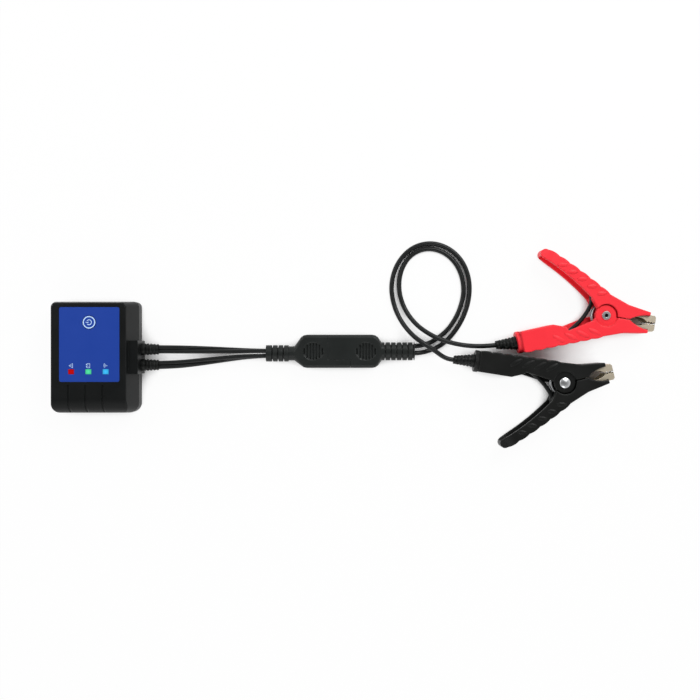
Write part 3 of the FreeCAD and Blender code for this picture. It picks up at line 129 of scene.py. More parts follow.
# %% Helpers for node trees
class TreeBuilder:
    """A node tree, with short ways to add the nodes that come back most."""

    def __init__(self, tree):
        self.tree = tree

    def fill(self, node, inputs):
        """Link or set a node's inputs, by name or number."""
        for key, source in inputs.items():
            if isinstance(source, bpy.types.NodeSocket):
                self.tree.links.new(source, node.inputs[key])
            else:
                node.inputs[key].default_value = source

    def add(self, kind, inputs=None, **properties):
        """Add a node, with its properties and its inputs."""
        node = self.tree.nodes.new(kind)
        for name, setting in properties.items():
            setattr(node, name, setting)
        self.fill(node, inputs or {})
        return node

    def math(self, operation, first, second=0.0, third=0.0):
        """A sum, a product or another reckoning."""
        terms = {0: first, 1: second, 2: third}
        return self.add("ShaderNodeMath", terms, operation=operation).outputs["Value"]

    def vector(self, **axes):
        """Up to three values as one vector."""
        return self.add("ShaderNodeCombineXYZ", axes).outputs["Vector"]

    def ranged(self, value, low, high, at_low=0.0, at_high=1.0):
        """What a value is worth between two limits, given what it is worth at each."""
        limits = {"Value": value, "From Min": low, "From Max": high, "To Min": at_low, "To Max": at_high}
        return self.add("ShaderNodeMapRange", limits).outputs["Result"]

    def place(self):
        """The place of a point in its object."""
        return self.add("ShaderNodeTexCoord").outputs["Object"]

    def noise(self, scale, detail, place=None):
        """A cloudy pattern over the object, or over places that are given."""
        sizes = {"Vector": place or self.place(), "Scale": scale, "Detail": detail}
        return self.add("ShaderNodeTexNoise", sizes).outputs["Fac"]

    def mixed(self, share, first, second):
        """A colour between two others."""
        return self.add("ShaderNodeMix", {0: share, 6: first, 7: second}, data_type="RGBA").outputs[2]

    def group(self, effect, inputs):
        """Use a node group, and give its output sockets."""
        return self.add("ShaderNodeGroup", inputs, node_tree=effect.tree).outputs


# %% Helpers for materials
WHITE = (1.0, 1.0, 1.0, 1.0)
BLACK = (0.0, 0.0, 0.0, 1.0)


def linear(red, green, blue):
    """A colour as an image editor gives it, 0 to 255, in the linear numbers that shaders use."""
    parts = []
    for level in (red, green, blue):
        level = level / 255
        parts.append(level / 12.92 if level <= 0.04045 else ((level + 0.055) / 1.055) ** 2.4)
    return (*parts, 1.0)


def new_finish(name):
    """A new material, its node tree and its Principled shader."""
    material = bpy.data.materials.new(name)
    material.use_nodes = True
    return material, TreeBuilder(material.node_tree), material.node_tree.nodes["Principled BSDF"]


print("helpers for nodes and materials are ready")

# %% [markdown]
# ## Floor and light
# The background is plain white. A white floor lit to exactly white would need strong lamps, which
# would bleach the object, so the floor shows part of its brightness as its own glow, and only to
# the camera, to reflections and through clear parts. The rest is lit paint, which keeps the
# shadow. Under a closed jaw no light gets in, so there the glow fades with the occlusion. The sky
# is darker overhead than at the horizon: black plastic seen from above then stays black, and its
# sloping sides catch the light.

# %% Make the floor
# The floor's width is in metres.
FLOOR_SIZE = 6.0
FLOOR_DROP = 0.2
FLOOR_GLOW = 0.95
FLOOR_PAINT = (0.9, 0.9, 0.9, 1.0)
HOLLOW_REACH = 18.0
HOLLOW_DARK, HOLLOW_LIGHT = 0.32, 0.62

floor_mesh = bpy.data.meshes.new("studio_floor")
half = FLOOR_SIZE / 2
corners = [(-half, -half, 0), (half, -half, 0), (half, half, 0), (-half, half, 0)]
floor_mesh.from_pydata(corners, [], [(0, 1, 2, 3)])
floor = add_object("studio_floor", floor_mesh)
floor.location.z = -FLOOR_DROP * MM

floor_white, tree, lit = new_finish("floor_white")
tree.fill(lit, {"Base Color": FLOOR_PAINT, "Roughness": 0.9})
glow = tree.add("ShaderNodeEmission", {"Color": WHITE, "Strength": 1.0})
ray = tree.add("ShaderNodeLightPath").outputs
seen = tree.math("MAXIMUM", ray["Is Camera Ray"], ray["Is Glossy Ray"])
seen = tree.math("MAXIMUM", seen, ray["Is Transmission Ray"])
sky = tree.add("ShaderNodeAmbientOcclusion", {"Distance": HOLLOW_REACH * MM}, samples=16)
openness = tree.ranged(sky.outputs["AO"], HOLLOW_DARK, HOLLOW_LIGHT)
share = tree.math("MULTIPLY", tree.math("MULTIPLY", seen, FLOOR_GLOW), openness)
surface = tree.add("ShaderNodeMixShader", {
    0: share, 1: lit.outputs["BSDF"], 2: glow.outputs["Emission"],
})
tree.fill(floor_white.node_tree.nodes["Material Output"], {"Surface": surface.outputs["Shader"]})
floor_mesh.materials.append(floor_white)
print("floor:", FLOOR_SIZE, "m across, glow", FLOOR_GLOW)

# %% Light the studio
SKY_HORIZON, SKY_OVERHEAD = 0.80, 0.14
SKY_LOW, SKY_HIGH = 0.45, 0.95
# Each softbox has a place and a width in metres, and a power in watts.
SOFTBOXES = {
    "key_softbox": ((0.62, 0.62, 0.75), 0.5, 6.0),
    "side_softbox": ((-0.45, 0.35, 0.55), 0.4, 1.6),
    "low_softbox": ((0.2, -0.75, 0.6), 0.5, 1.6),
}

world = bpy.data.worlds.new("studio_sky")
world.use_nodes = True
tree = TreeBuilder(world.node_tree)
direction = tree.add("ShaderNodeTexCoord").outputs["Generated"]
height = tree.add("ShaderNodeSeparateXYZ", {"Vector": direction}).outputs["Z"]
fade = tree.ranged(height, SKY_LOW, SKY_HIGH, SKY_HORIZON, SKY_OVERHEAD)
seen_directly = tree.add("ShaderNodeLightPath").outputs["Is Camera Ray"]
level = tree.add("ShaderNodeMix", {"Factor": seen_directly, "A": fade, "B": 1.0})
tree.fill(world.node_tree.nodes["Background"], {"Color": WHITE, "Strength": level.outputs["Result"]})
bpy.context.scene.world = world

aim = Vector(((cad_box[0][0] + cad_box[1][0]) / 2, (cad_box[0][1] + cad_box[1][1]) / 2, 0.0))
for name, (place, width, watts) in SOFTBOXES.items():
    lamp_data = bpy.data.lights.new(name, "AREA")
    lamp_data.size = width
    lamp_data.energy = watts
    lamp = add_object(name, lamp_data)
    lamp.location = place
    lamp.rotation_euler = (aim - Vector(place)).to_track_quat("-Z", "Y").to_euler()
bpy.context.scene.view_settings.view_transform = "Standard"
print("sky", SKY_HORIZON, "to", SKY_OVERHEAD, "and", len(SOFTBOXES), "softboxes")

# %% [markdown]
# ## Shared surface effects
# Moulded plastic, rubber and cable sheath differ in colour and grain, but the same things keep
# them from looking flat: a fine grain, a slow drift of colour and gloss, paler edges that are partly
# rubbed by handling and partly a painted highlight, and painted shade in the hollows. Each effect is
# one node group with named inputs, so that every finish can use it with its own numbers.

# %% Helpers for node groups
GRAY = (0.5, 0.5, 0.5, 1.0)
INPUT_KINDS = {int: "Int", float: "Float", tuple: "Color", bpy.types.Material: "Material"}
OUTPUT_KINDS = {"VALUE": "Float", "RGBA": "Color", "VECTOR": "Vector", "GEOMETRY": "Geometry"}


def new_group(name, kind, inputs):
    """A new node group with its inputs' own values, and its input sockets."""
    group = TreeBuilder(bpy.data.node_groups.new(name, kind))
    for label, default in inputs.items():
        socket_type = "NodeSocket" + INPUT_KINDS[type(default)]
        socket = group.tree.interface.new_socket(label, in_out="INPUT", socket_type=socket_type)
        socket.default_value = default
    return group, group.add("NodeGroupInput").outputs


def end_group(group, outputs):
    """Give a group its outputs, each from a socket inside it."""
    for label, source in outputs.items():
        socket_type = "NodeSocket" + OUTPUT_KINDS[source.type]
        group.tree.interface.new_socket(label, in_out="OUTPUT", socket_type=socket_type)
    group.add("NodeGroupOutput", outputs)
    print("group:", group.tree.name, len(group.tree.nodes), "nodes")
    return group


# %% Node group: moulded grain
PATCH_SCALE = 70.0

tree, given = new_group("moulded_grain", "ShaderNodeTree", {
    "Colour": GRAY, "Colour Drift": 0.1, "Grain Size": 0.4, "Roughness": 0.5, "Roughness Drift": 0.1,
})
grain_scale = tree.math("DIVIDE", 1 / MM, given["Grain Size"])
grain = tree.noise(grain_scale, detail=3.0)
patch = tree.noise(PATCH_SCALE, detail=4.0)
both = tree.math("ADD", grain, patch)
swing = tree.math("MULTIPLY_ADD", both, 2.0, -2.0)
shade = tree.math("MULTIPLY_ADD", swing, given["Colour Drift"], 1.0)
tinted = tree.add("ShaderNodeHueSaturation", {"Value": shade, "Color": given["Colour"]})
uneven = tree.math("MULTIPLY_ADD", patch, 2.0, -1.0)
gloss = tree.math("MULTIPLY_ADD", uneven, given["Roughness Drift"], given["Roughness"])
grain_group = end_group(tree, {"Colour": tinted.outputs["Color"], "Roughness": gloss, "Height": grain})

# %% [markdown]
# A paler edge is found without touching the mesh. The Bevel node gives the normal that a rounded
# edge would have, and where that differs from the true normal there is an edge nearby. The paler
# edge is partly wear and partly a painted highlight along the edge. Noise breaks the line up,
# because handling never rubs an edge evenly. The rounded normal comes out too: soft mouldings
# shade with it, so that their edges and ribs run into each other.

# %% Node group: worn and highlit edges
EDGE_GAIN = 5.0
EDGE_BREAK_SCALE = 260.0
EDGE_BREAK_LOW, EDGE_BREAK_HIGH = 0.35, 0.7

tree, given = new_group("worn_and_highlit_edges", "ShaderNodeTree", {
    "Colour": GRAY, "Worn And Highlit Colour": GRAY, "Width": 0.5, "Amount": 0.5,
})
radius = tree.math("MULTIPLY", given["Width"], MM)
round_normal = tree.add("ShaderNodeBevel", {"Radius": radius}, samples=4).outputs["Normal"]
true_normal = tree.add("ShaderNodeNewGeometry").outputs["Normal"]
normals = {0: round_normal, 1: true_normal}
alike = tree.add("ShaderNodeVectorMath", normals, operation="DOT_PRODUCT").outputs["Value"]
bend = tree.math("MULTIPLY_ADD", alike, -EDGE_GAIN, EDGE_GAIN)
broken = tree.ranged(tree.noise(EDGE_BREAK_SCALE, detail=5.0), EDGE_BREAK_LOW, EDGE_BREAK_HIGH)
wear_and_highlight = tree.math("MULTIPLY", bend, broken)
wear_and_highlight = tree.math("MULTIPLY", wear_and_highlight, given["Amount"])
wear_and_highlight = tree.math("MINIMUM", wear_and_highlight, 1.0)
paled_edges = tree.mixed(wear_and_highlight, given["Colour"], given["Worn And Highlit Colour"])
wear_and_highlight_group = end_group(tree, {"Colour": paled_edges, "Normal": round_normal})

# %% [markdown]
# Plated and rolled metal shows fine lines along the direction it was worked in, and a warm
# tarnish that collects in patches. A noise that is stretched along one axis gives the lines.

# %% Node group: worked metal
STAIN_SCALE = 320.0
STAIN_LOW, STAIN_HIGH = 0.4, 0.75
LINE_ROUGHNESS, STAIN_ROUGHNESS = 0.25, 0.3

tree, given = new_group("worked_metal", "ShaderNodeTree", {
    "Colour": GRAY, "Tarnish": GRAY, "Tarnish Amount": 0.3, "Line Size": 0.15, "Stretch": 12.0,
    "Roughness": 0.3,
})
line_scale = tree.math("DIVIDE", 1 / MM, given["Line Size"])
along_scale = tree.math("DIVIDE", line_scale, given["Stretch"])
scales = tree.vector(X=along_scale, Y=line_scale, Z=line_scale)
stretched = tree.add("ShaderNodeVectorMath", {0: tree.place(), 1: scales}, operation="MULTIPLY")
lines = tree.noise(1.0, detail=3.0, place=stretched.outputs["Vector"])
stain = tree.ranged(tree.noise(STAIN_SCALE, detail=5.0), STAIN_LOW, STAIN_HIGH)
stain = tree.math("MULTIPLY", stain, given["Tarnish Amount"])
stained = tree.mixed(stain, given["Colour"], given["Tarnish"])
rough = tree.math("MULTIPLY_ADD", lines, LINE_ROUGHNESS, given["Roughness"])
rough = tree.math("MULTIPLY_ADD", stain, STAIN_ROUGHNESS, rough)
metal_group = end_group(tree, {"Colour": stained, "Roughness": rough, "Height": lines})

# %% [markdown]
# Painted shade: in the rivet's hole, in grooves and between the handles, where shade falls, the
# colour is darkened. The Ambient Occlusion node tells how much of the space above a point is closed
# in, and the colour goes towards a darker shade colour there.

# %% Node group: painted shade in recesses
CLOSED, OPEN = 0.15, 0.85

tree, given = new_group("recess_painted_shade", "ShaderNodeTree", {
    "Colour": GRAY, "Shade Colour": GRAY, "Reach": 2.0, "Amount": 0.5,
})
reach = tree.math("MULTIPLY", given["Reach"], MM)
around = tree.add("ShaderNodeAmbientOcclusion", {"Distance": reach}, samples=8)
closed_in = tree.ranged(around.outputs["AO"], CLOSED, OPEN, at_low=1.0, at_high=0.0)
share = tree.math("MULTIPLY", closed_in, given["Amount"])
painted_shade_group = end_group(tree, {"Colour": tree.mixed(share, given["Colour"], given["Shade Colour"])})

# %% [markdown]
# ## Finishes
# Each finish is a Principled shader with the groups in front of it. What is the same all over a
# surface, such as how strongly it reflects, is set on the shader's own socket. What changes over
# the surface comes out of the groups. A table gives each finish its numbers.

# %% Plastic, rubber and cable finishes
# How dark the painted shade in hollows is, as a share of the surface colour.
PAINTED_SHADE_DARKNESS = 0.25


def moulded_finish(name, colour, wear_and_highlight, roughness, grain_size, grain_depth, rub=0.35, rub_width=0.5,
                   drift=0.1, reflect=0.3, grime_share=0.7, soft=False):
    """A moulded surface: grain, drifting colour and gloss, paler edges that are partly wear and partly a
    painted highlight, and painted shade in hollows. Sizes are in mm.
    """
    material, tree, shader = new_finish(name)
    grain = tree.group(grain_group, {
        "Colour": colour, "Colour Drift": drift, "Grain Size": grain_size, "Roughness": roughness,
        "Roughness Drift": 0.12,
    })
    # Paler edges: partly wear, partly a painted highlight.
    edges = tree.group(wear_and_highlight_group, {
        "Colour": grain["Colour"], "Worn And Highlit Colour": wear_and_highlight, "Width": rub_width, "Amount": rub,
    })
    # Painted shade: darker in hollows, where shade falls.
    painted_shade = tree.group(painted_shade_group, {
        "Colour": edges["Colour"], "Shade Colour": [level * PAINTED_SHADE_DARKNESS for level in colour[:3]] + [1.0],
        "Reach": 2.5, "Amount": grime_share,
    })
    bump = tree.add("ShaderNodeBump", {
        "Strength": 0.6, "Distance": grain_depth * MM, "Height": grain["Height"],
    })
    if soft:
        tree.fill(bump, {"Normal": edges["Normal"]})
    tree.fill(shader, {
        "Base Color": painted_shade["Colour"], "Roughness": grain["Roughness"],
        "Normal": bump.outputs["Normal"], "Specular IOR Level": reflect,
    })
    return material


# Colour, colour of the worn and highlit edges, roughness, grain size and depth, and what differs from a
# plain moulding.
FILM = {"rub": 0.2, "drift": 0.04, "reflect": 0.18}
MOULDED = {
    "case_black": ((15, 17, 17), (62, 67, 66), 0.4, 0.45, 0.05, {"reflect": 0.18, "soft": True}),
    "label_blue": ((30, 64, 155), (66, 96, 178), 0.42, 0.25, 0.012, FILM),
    "button_blue": ((32, 67, 160), (70, 102, 186), 0.36, 0.25, 0.012, FILM),
    "print_white": ((186, 217, 255), (214, 234, 255), 0.5, 0.3, 0.01, {}),
    "board_green": ((20, 84, 48), (150, 140, 70), 0.35, 0.6, 0.03, {}),
    "chip_black": ((24, 24, 26), (50, 50, 52), 0.55, 0.2, 0.02, {}),
    "ceramic_white": ((214, 210, 198), (232, 230, 222), 0.6, 0.3, 0.04, {}),
    "led_clear": ((206, 212, 216), (236, 238, 240), 0.12, 0.5, 0.01, {"rub": 0.1, "reflect": 0.5}),
    # The boots' strong paler edges are mostly a painted highlight.
    "rubber_black": ((15, 17, 16), (76, 81, 79), 0.42, 0.35, 0.04, {"rub": 0.9, "reflect": 0.22}),
    "cable_black": ((24, 26, 26), (44, 46, 46), 0.38, 0.5, 0.03, {"rub": 0.0, "reflect": 0.26}),
    "connector_black": ((30, 33, 32), (72, 77, 75), 0.42, 0.5, 0.05, {
        "rub": 0.5, "reflect": 0.24, "grime_share": 0.5, "soft": True,
    }),
    "handle_red": ((246, 46, 58), (255, 104, 106), 0.42, 0.6, 0.05, {
        "rub": 0.25, "rub_width": 1.2, "drift": 0.04, "grime_share": 0.25, "soft": True,
    }),
    "handle_black": ((17, 18, 17), (58, 62, 60), 0.4, 0.6, 0.05, {
        "rub": 0.4, "rub_width": 1.2, "reflect": 0.24, "soft": True,
    }),
}
finishes = {}
for name, (colour, wear_and_highlight, *numbers, extra) in MOULDED.items():
    finishes[name] = moulded_finish(name, linear(*colour), linear(*wear_and_highlight), *numbers, **extra)
print("moulded finishes:", ", ".join(finishes))

# %% [markdown]
# The jaws are pressed from plated sheet, warm and a little dull. Rivets, springs and screws are
# brighter. All of them are one finish with other numbers.

# %% Metal finishes
# How dark the painted shade in the metal's recesses gets.
METAL_PAINTED_SHADE = linear(24, 24, 26)


def metal_finish(name, colour, tarnish, tarnish_amount, roughness):
    """A bare or plated metal with worked lines, patches of tarnish and painted shade in its recesses."""
    material, tree, shader = new_finish(name)
    worked = tree.group(metal_group, {
        "Colour": colour, "Tarnish": tarnish, "Tarnish Amount": tarnish_amount, "Line Size": 0.12,
        "Stretch": 10.0, "Roughness": roughness,
    })
    # Painted shade: darker in recesses, where shade falls.
    painted_shade = tree.group(painted_shade_group, {
        "Colour": worked["Colour"], "Shade Colour": METAL_PAINTED_SHADE, "Reach": 3.0, "Amount": 0.95,
    })
    bump = tree.add("ShaderNodeBump", {
        "Strength": 0.4, "Distance": 0.01 * MM, "Height": worked["Height"],
    })
    tree.fill(shader, {
        "Base Color": painted_shade["Colour"], "Roughness": worked["Roughness"],
        "Normal": bump.outputs["Normal"], "Metallic": 1.0,
    })
    return material


# Colour, tarnish and how much of it, and roughness.
METALS = {
    "jaw_nickel": ((214, 203, 182), (160, 146, 118), 0.3, 0.32),
    "rivet_steel": ((214, 216, 218), (150, 152, 152), 0.3, 0.16),
    "spring_steel": ((206, 208, 210), (140, 138, 132), 0.3, 0.2),
    "screw_steel": ((150, 152, 156), (96, 96, 98), 0.4, 0.28),
    "shield_steel": ((190, 192, 194), (150, 148, 142), 0.2, 0.3),
    "can_aluminium": ((200, 202, 206), (160, 160, 162), 0.2, 0.3),
    "contact_brass": ((214, 176, 98), (150, 112, 56), 0.3, 0.22),
}
for name, (colour, tarnish, *numbers) in METALS.items():
    finishes[name] = metal_finish(name, linear(*colour), linear(*tarnish), *numbers)
print("metal finishes:", ", ".join(METALS))

# %% [markdown]
# The three status windows are lit from behind in the photograph. Real ones are clear plastic with
# an LED under them: bright in the middle and deeper towards the rim. Here the plastic gets a
# little glow of its own colour, strongest at the window's middle, over a glossy tinted base.

# %% Window finishes
WINDOW_Y = -10.2
WINDOW_TOP = 26.0
WINDOW_PITCH = 12.25
WINDOW_MIDDLE_X = 0.05
WINDOW_HALF = 2.6
RIM_GLOW = 0.45


def window_x(step):
    """Where a window lies along the row, counted in steps from the middle one."""
    return WINDOW_MIDDLE_X + WINDOW_PITCH * step


def window_finish(name, colour, glow, middle_x):
    """Tinted clear plastic over a lit LED; the glow fades from the window's middle."""
    material, tree, shader = new_finish(name)
    grain = tree.group(grain_group, {
        "Colour": colour, "Colour Drift": 0.05, "Grain Size": 0.5, "Roughness": 0.16,
        "Roughness Drift": 0.08,
    })
    middle = Vector((middle_x, WINDOW_Y, WINDOW_TOP)) * MM
    away = tree.add("ShaderNodeVectorMath", {0: tree.place(), 1: middle}, operation="DISTANCE")
    bright = tree.ranged(away.outputs["Value"], 0.0, WINDOW_HALF * MM, at_low=1.0, at_high=RIM_GLOW)
    tree.fill(shader, {
        "Base Color": grain["Colour"], "Roughness": grain["Roughness"],
        "Emission Color": tree.mixed(bright, BLACK, glow), "Emission Strength": 1.0,
        "Specular IOR Level": 0.3, "Coat Weight": 0.15,
    })
    return material


# Step along the row, colour, and colour of the glow.
WINDOWS = {
    "window_red": (-1, (120, 0, 0), (168, 0, 0)),
    "window_green": (0, (36, 130, 92), (80, 208, 150)),
    "window_blue": (1, (34, 108, 158), (56, 176, 222)),
}
for name, (step, colour, glow) in WINDOWS.items():
    finishes[name] = window_finish(name, linear(*colour), linear(*glow), window_x(step))
print("finishes:", len(finishes))

# %% [markdown]
# ## Every solid gets its finish
# The frame's record names a material slot for each solid, and the finishes carry the same names,
# so hidden pieces such as the board and its parts are dressed in one pass.

# %% Dress the frame
slot_of = {part["node"]: part["material_slot"] for part in frame["record"]["subparts"]}
for name, solid in nodes.items():
    solid.data.materials.clear()
    solid.data.materials.append(finishes[slot_of[name]])
print("dressed", len(nodes), "solids in", len(set(slot_of.values())), "finishes")

# %% [markdown]
# ## Pieces that ride on the frame
# Everything made below is a piece of its own. It lies where it belongs already, so its object stays
# at the origin, and it only has to be told which body of the frame carries it and which solids it
# stands for. Those solids are then hidden here, and stay in the frame for its motion.

# %% Helpers for pieces
def finish_piece(piece, body, *stands_for, slot=None, look=None):
    """Give a piece its finish, hide the solids it stands for, and let it ride on a body, if any."""
    slot = slot or slot_of[stands_for[0]]
    piece.data.materials.clear()
    piece.data.materials.append(finishes[look or slot])
    if stands_for:
        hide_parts(*stands_for)
    if body:
        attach(piece, body)
    print(piece.name, "in", look or slot, "on", body or "two bodies")
    return piece


def add_piece(name, data, body, *stands_for, slot=None):
    """A new piece of mesh or curve data, finished as above."""
    return finish_piece(add_object(name, data), body, *stands_for, slot=slot)


def evaluated_mesh(piece):
    """A new mesh of what an object's modifiers, or its curve, give."""
    return bpy.data.meshes.new_from_object(piece.evaluated_get(bpy.context.evaluated_depsgraph_get()))


def run_modifier(piece, kind, **settings):
    """Run one modifier on a piece, and keep the mesh that it gives as the piece's own."""
    modifier = piece.modifiers.new(kind, kind)
    for name, setting in settings.items():
        setattr(modifier, name, setting)
    mesh = evaluated_mesh(piece)
    piece.modifiers.clear()
    piece.data = mesh


def read_mesh(data):
    """A mesh's data, opened for editing."""
    mesh = bmesh.new()
    mesh.from_mesh(data)
    return mesh


def write_mesh(mesh, data):
    """Put an edited mesh into mesh data, and close it."""
    mesh.to_mesh(data)
    mesh.free()
    return data


# %% [markdown]
# ## Where the clamps lie
# Both clamps are the same moulding, drawn with the rivet at zero and the jaws along +X. They lie on
# a flat side, so their middle plane is half their thickness above the floor. The red one lies as
# drawn, and the black one is turned over about its length. Two matrices hold that.

# %% Frames of the two clamps
HALF_CLAMP = 9.0
CLAMPS = {"red": ((370.6, 30.1), -9.9, 0), "black": ((340.9, -18.5), 13.3, 180)}
CLAMP_FRAMES = {}
for colour, (pivot, swing, roll) in CLAMPS.items():
    CLAMP_FRAMES[colour] = (
        Matrix.Translation(Vector((*pivot, HALF_CLAMP)) * MM)
        @ Matrix.Rotation(math.radians(swing), 4, "Z")
        @ Matrix.Rotation(math.radians(roll), 4, "X")
    )
    print(colour, "clamp's pivot", tuple(round(c, 4) for c in CLAMP_FRAMES[colour].translation))


def in_clamp(colour, place):
    """A place in the clamp's own frame, in mm, as a point in metres."""
    return CLAMP_FRAMES[colour] @ (Vector(place) * MM)


# %% [markdown]
# ## Rounded edges on the rigid pieces
# No moulded or pressed piece has knife edges: the mould's own edges are rounded, and handling rounds
# them further. The solids could be rounded in the drawing, but a Bevel modifier does it here with far
# fewer faces. Each solid is copied, its loose triangles are merged into whole faces, and only the
# outer edges are marked. Inner corners stay sharp, because a mould's cutter leaves them so. Weighted
# normals then keep the large faces flat, so that only the rounds shade as curved.

# %% Helper that rounds a solid
SHARP_EDGE = math.radians(30)
SMOOTH_LIMIT = math.radians(40)
FLAT_EDGE = math.radians(0.6)
ROUND_STEPS = 3
# Points nearer than this, in metres, are one point.
MERGE_DISTANCE = 1e-6


def mark_outer_edges(data):
    """Give a mesh's sharp outer edges a bevel weight."""
    mesh = read_mesh(data)
    weight = mesh.edges.layers.float.new("bevel_weight_edge")
    for edge in mesh.edges:
        if edge.is_manifold and edge.is_convex and edge.calc_face_angle() > SHARP_EDGE:
            edge[weight] = 1.0
    write_mesh(mesh, data)


def rounded_copy(solid_name, width, shape=None, *details):
    """A copy of a solid with its outer edges rounded over a width in mm, and shaped first if need be."""
    mesh = read_mesh(nodes[solid_name].data)
    bmesh.ops.remove_doubles(mesh, verts=mesh.verts, dist=MERGE_DISTANCE)
    bmesh.ops.dissolve_limit(mesh, angle_limit=FLAT_EDGE, verts=mesh.verts, edges=mesh.edges)
    name = solid_name + "_rounded"
    piece = add_object(name, write_mesh(mesh, bpy.data.meshes.new(name)))
    if shape:
        shape(piece, *details)
    mark_outer_edges(piece.data)
    run_modifier(
        piece, "BEVEL", limit_method="WEIGHT", width=width * MM, segments=ROUND_STEPS,
        use_clamp_overlap=False,
    )
    piece.data.shade_smooth()
    piece.data.set_sharp_from_angle(angle=SMOOTH_LIMIT)
    run_modifier(piece, "WEIGHTED_NORMAL", keep_sharp=True)
    return finish_piece(piece, nodes[solid_name]["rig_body"], solid_name)


# %% [markdown]
# Two forms of the clamp handles are shaped before rounding. On the side that lies up, the lead
# handle's cheek is cut lower at its mouth, so that the jumper wire shows; a Boolean takes that wedge
# away. And the free handle thins towards its end, like the toe of a shoe: a few planes cut its flat
# faces into bands, and the bands' points move towards the middle plane.

# %% Cut the mouth of a lead handle
MOUTH_EAR = [(-7.21, -2.25), (-7.53, -0.58), (-7.55, 0.0), (-28.3, -8.0), (-28.3, -12.6)]
MOUTHS = {
    "red": (1, [(-24.8, -15.3), (-9.0, -5.4)] + MOUTH_EAR),
    "black": (-1, [(-25.5, -13.9), (-10.2, -4.6)] + MOUTH_EAR),
}
MOUTH_FLOOR, MOUTH_TOP = 4.8, 9.6
MOUTH_CLEAN = 0.07


def skin_rings(mesh, rings):
    """Close rings of points to a solid: sides from ring to ring, and a cap at each end."""
    for first, second in zip(rings, rings[1:]):
        for index, corner in enumerate(first):
            following = (index + 1) % len(first)
            mesh.faces.new((corner, first[following], second[following], second[index]))
    for ring in (rings[0], rings[-1]):
        mesh.faces.new(ring)
    bmesh.ops.remove_doubles(mesh, verts=mesh.verts, dist=MERGE_DISTANCE)
    bmesh.ops.recalc_face_normals(mesh, faces=mesh.faces)


def cut_mouth(piece, colour):
    """Take the wedge at the mouth out of a lead handle's upper cheek."""
    up, outline = MOUTHS[colour]
    wedge = bmesh.new()
    rings = []
    for level in (up * MOUTH_FLOOR, up * MOUTH_TOP):
        rings.append([wedge.verts.new(in_clamp(colour, (*corner, level))) for corner in outline])
    skin_rings(wedge, rings)
    cutter_data = write_mesh(wedge, bpy.data.meshes.new("mouth_cutter"))
    cutter = add_object("mouth_cutter", cutter_data)
    run_modifier(piece, "BOOLEAN", operation="DIFFERENCE", solver="EXACT", object=cutter)
    bpy.data.objects.remove(cutter)
    bpy.data.meshes.remove(cutter_data)
    mesh = read_mesh(piece.data)
    bmesh.ops.remove_doubles(mesh, verts=mesh.verts, dist=MOUTH_CLEAN * MM)
    write_mesh(mesh, piece.data)


print("mouth wedges:", MOUTH_FLOOR, "to", MOUTH_TOP, "mm above the middle plane")

# %% Thin the toe of a free handle
SHOULDER = 15.4
FREE_LENGTH = 54.6
FREE_ANGLES = {"red": math.radians(26.6), "black": math.radians(22.1)}
TOE_LENGTH = 9.0
TOE_THIN = 0.72
TOE_BANDS = 7


def handle_lines(angle, side):
    """Where a handle's back starts on one side of the clamp, and its ways along and inward."""
    start = Vector((0.0, side * SHOULDER, 0.0))
    along = Vector((-math.cos(angle), side * math.sin(angle), 0.0))
    inward = Vector((-math.sin(angle), -side * math.cos(angle), 0.0))
    return start, along, inward


def thin_toe(piece, colour):
    """Thin a free handle towards its end."""
    to_clamp = CLAMP_FRAMES[colour].inverted()
    start, along, _ = handle_lines(FREE_ANGLES[colour], 1)
    square = CLAMP_FRAMES[colour].to_3x3() @ along
    mesh = read_mesh(piece.data)
    for band in range(TOE_BANDS):
        reach = FREE_LENGTH - TOE_LENGTH + TOE_LENGTH * band / TOE_BANDS
        spot = in_clamp(colour, start + along * reach)
        everything = mesh.verts[:] + mesh.edges[:] + mesh.faces[:]
        bmesh.ops.bisect_plane(mesh, geom=everything, plane_co=spot, plane_no=square)
    for vertex in mesh.verts:
        place = (to_clamp @ vertex.co) / MM
        share = ((place - start).dot(along) - FREE_LENGTH + TOE_LENGTH) / TOE_LENGTH
        if share > 0:
            place.z *= math.sqrt(1 - (TOE_THIN * min(share, 1.0)) ** 2)
            vertex.co = in_clamp(colour, place)
    write_mesh(mesh, piece.data)


print("toe:", TOE_LENGTH, "mm long, cut into", TOE_BANDS, "bands")

# %% [markdown]
# The connector's halves are drawn with a round along the edges where they lie side by side. On the
# real one they close to a hairline, so the points of those rounds are drawn in towards the edge.

# %% Close the connector's seam
SEAM_RUN = (169.6, 186.2)
SEAM_ROUND = 2.61
SEAM_LEFT = 0.08
SEAM_SLACK = 0.01
SEAM_EDGES = {"tester_connector_housing": (-1.95, -1), "lead_connector_housing": (-1.85, 1)}
HOUSING_LEVELS = (0.1, 13.1)


def close_seam(piece, edge_y, side):
    """Shrink the rounds of a housing's edges at the seam, whose line is at edge_y."""
    for vertex in piece.data.vertices:
        place = vertex.co / MM
        inside = -SEAM_SLACK < (place.y - edge_y) * side < SEAM_ROUND
        beside = inside and SEAM_RUN[0] < place.x < SEAM_RUN[1]
        for level in HOUSING_LEVELS:
            if beside and abs(place.z - level) < SEAM_ROUND:
                edge = Vector((place.x, edge_y, level))
                vertex.co = edge.lerp(place, SEAM_LEFT) * MM


# What shapes a solid before it is rounded, and what that function needs besides the piece.
SHAPES = {solid_name: (close_seam, *line) for solid_name, line in SEAM_EDGES.items()}
for colour in CLAMPS:
    SHAPES[colour + "_lead_handle"] = (cut_mouth, colour)
    SHAPES[colour + "_free_handle"] = (thin_toe, colour)
print("shaped before rounding:", ", ".join(SHAPES))

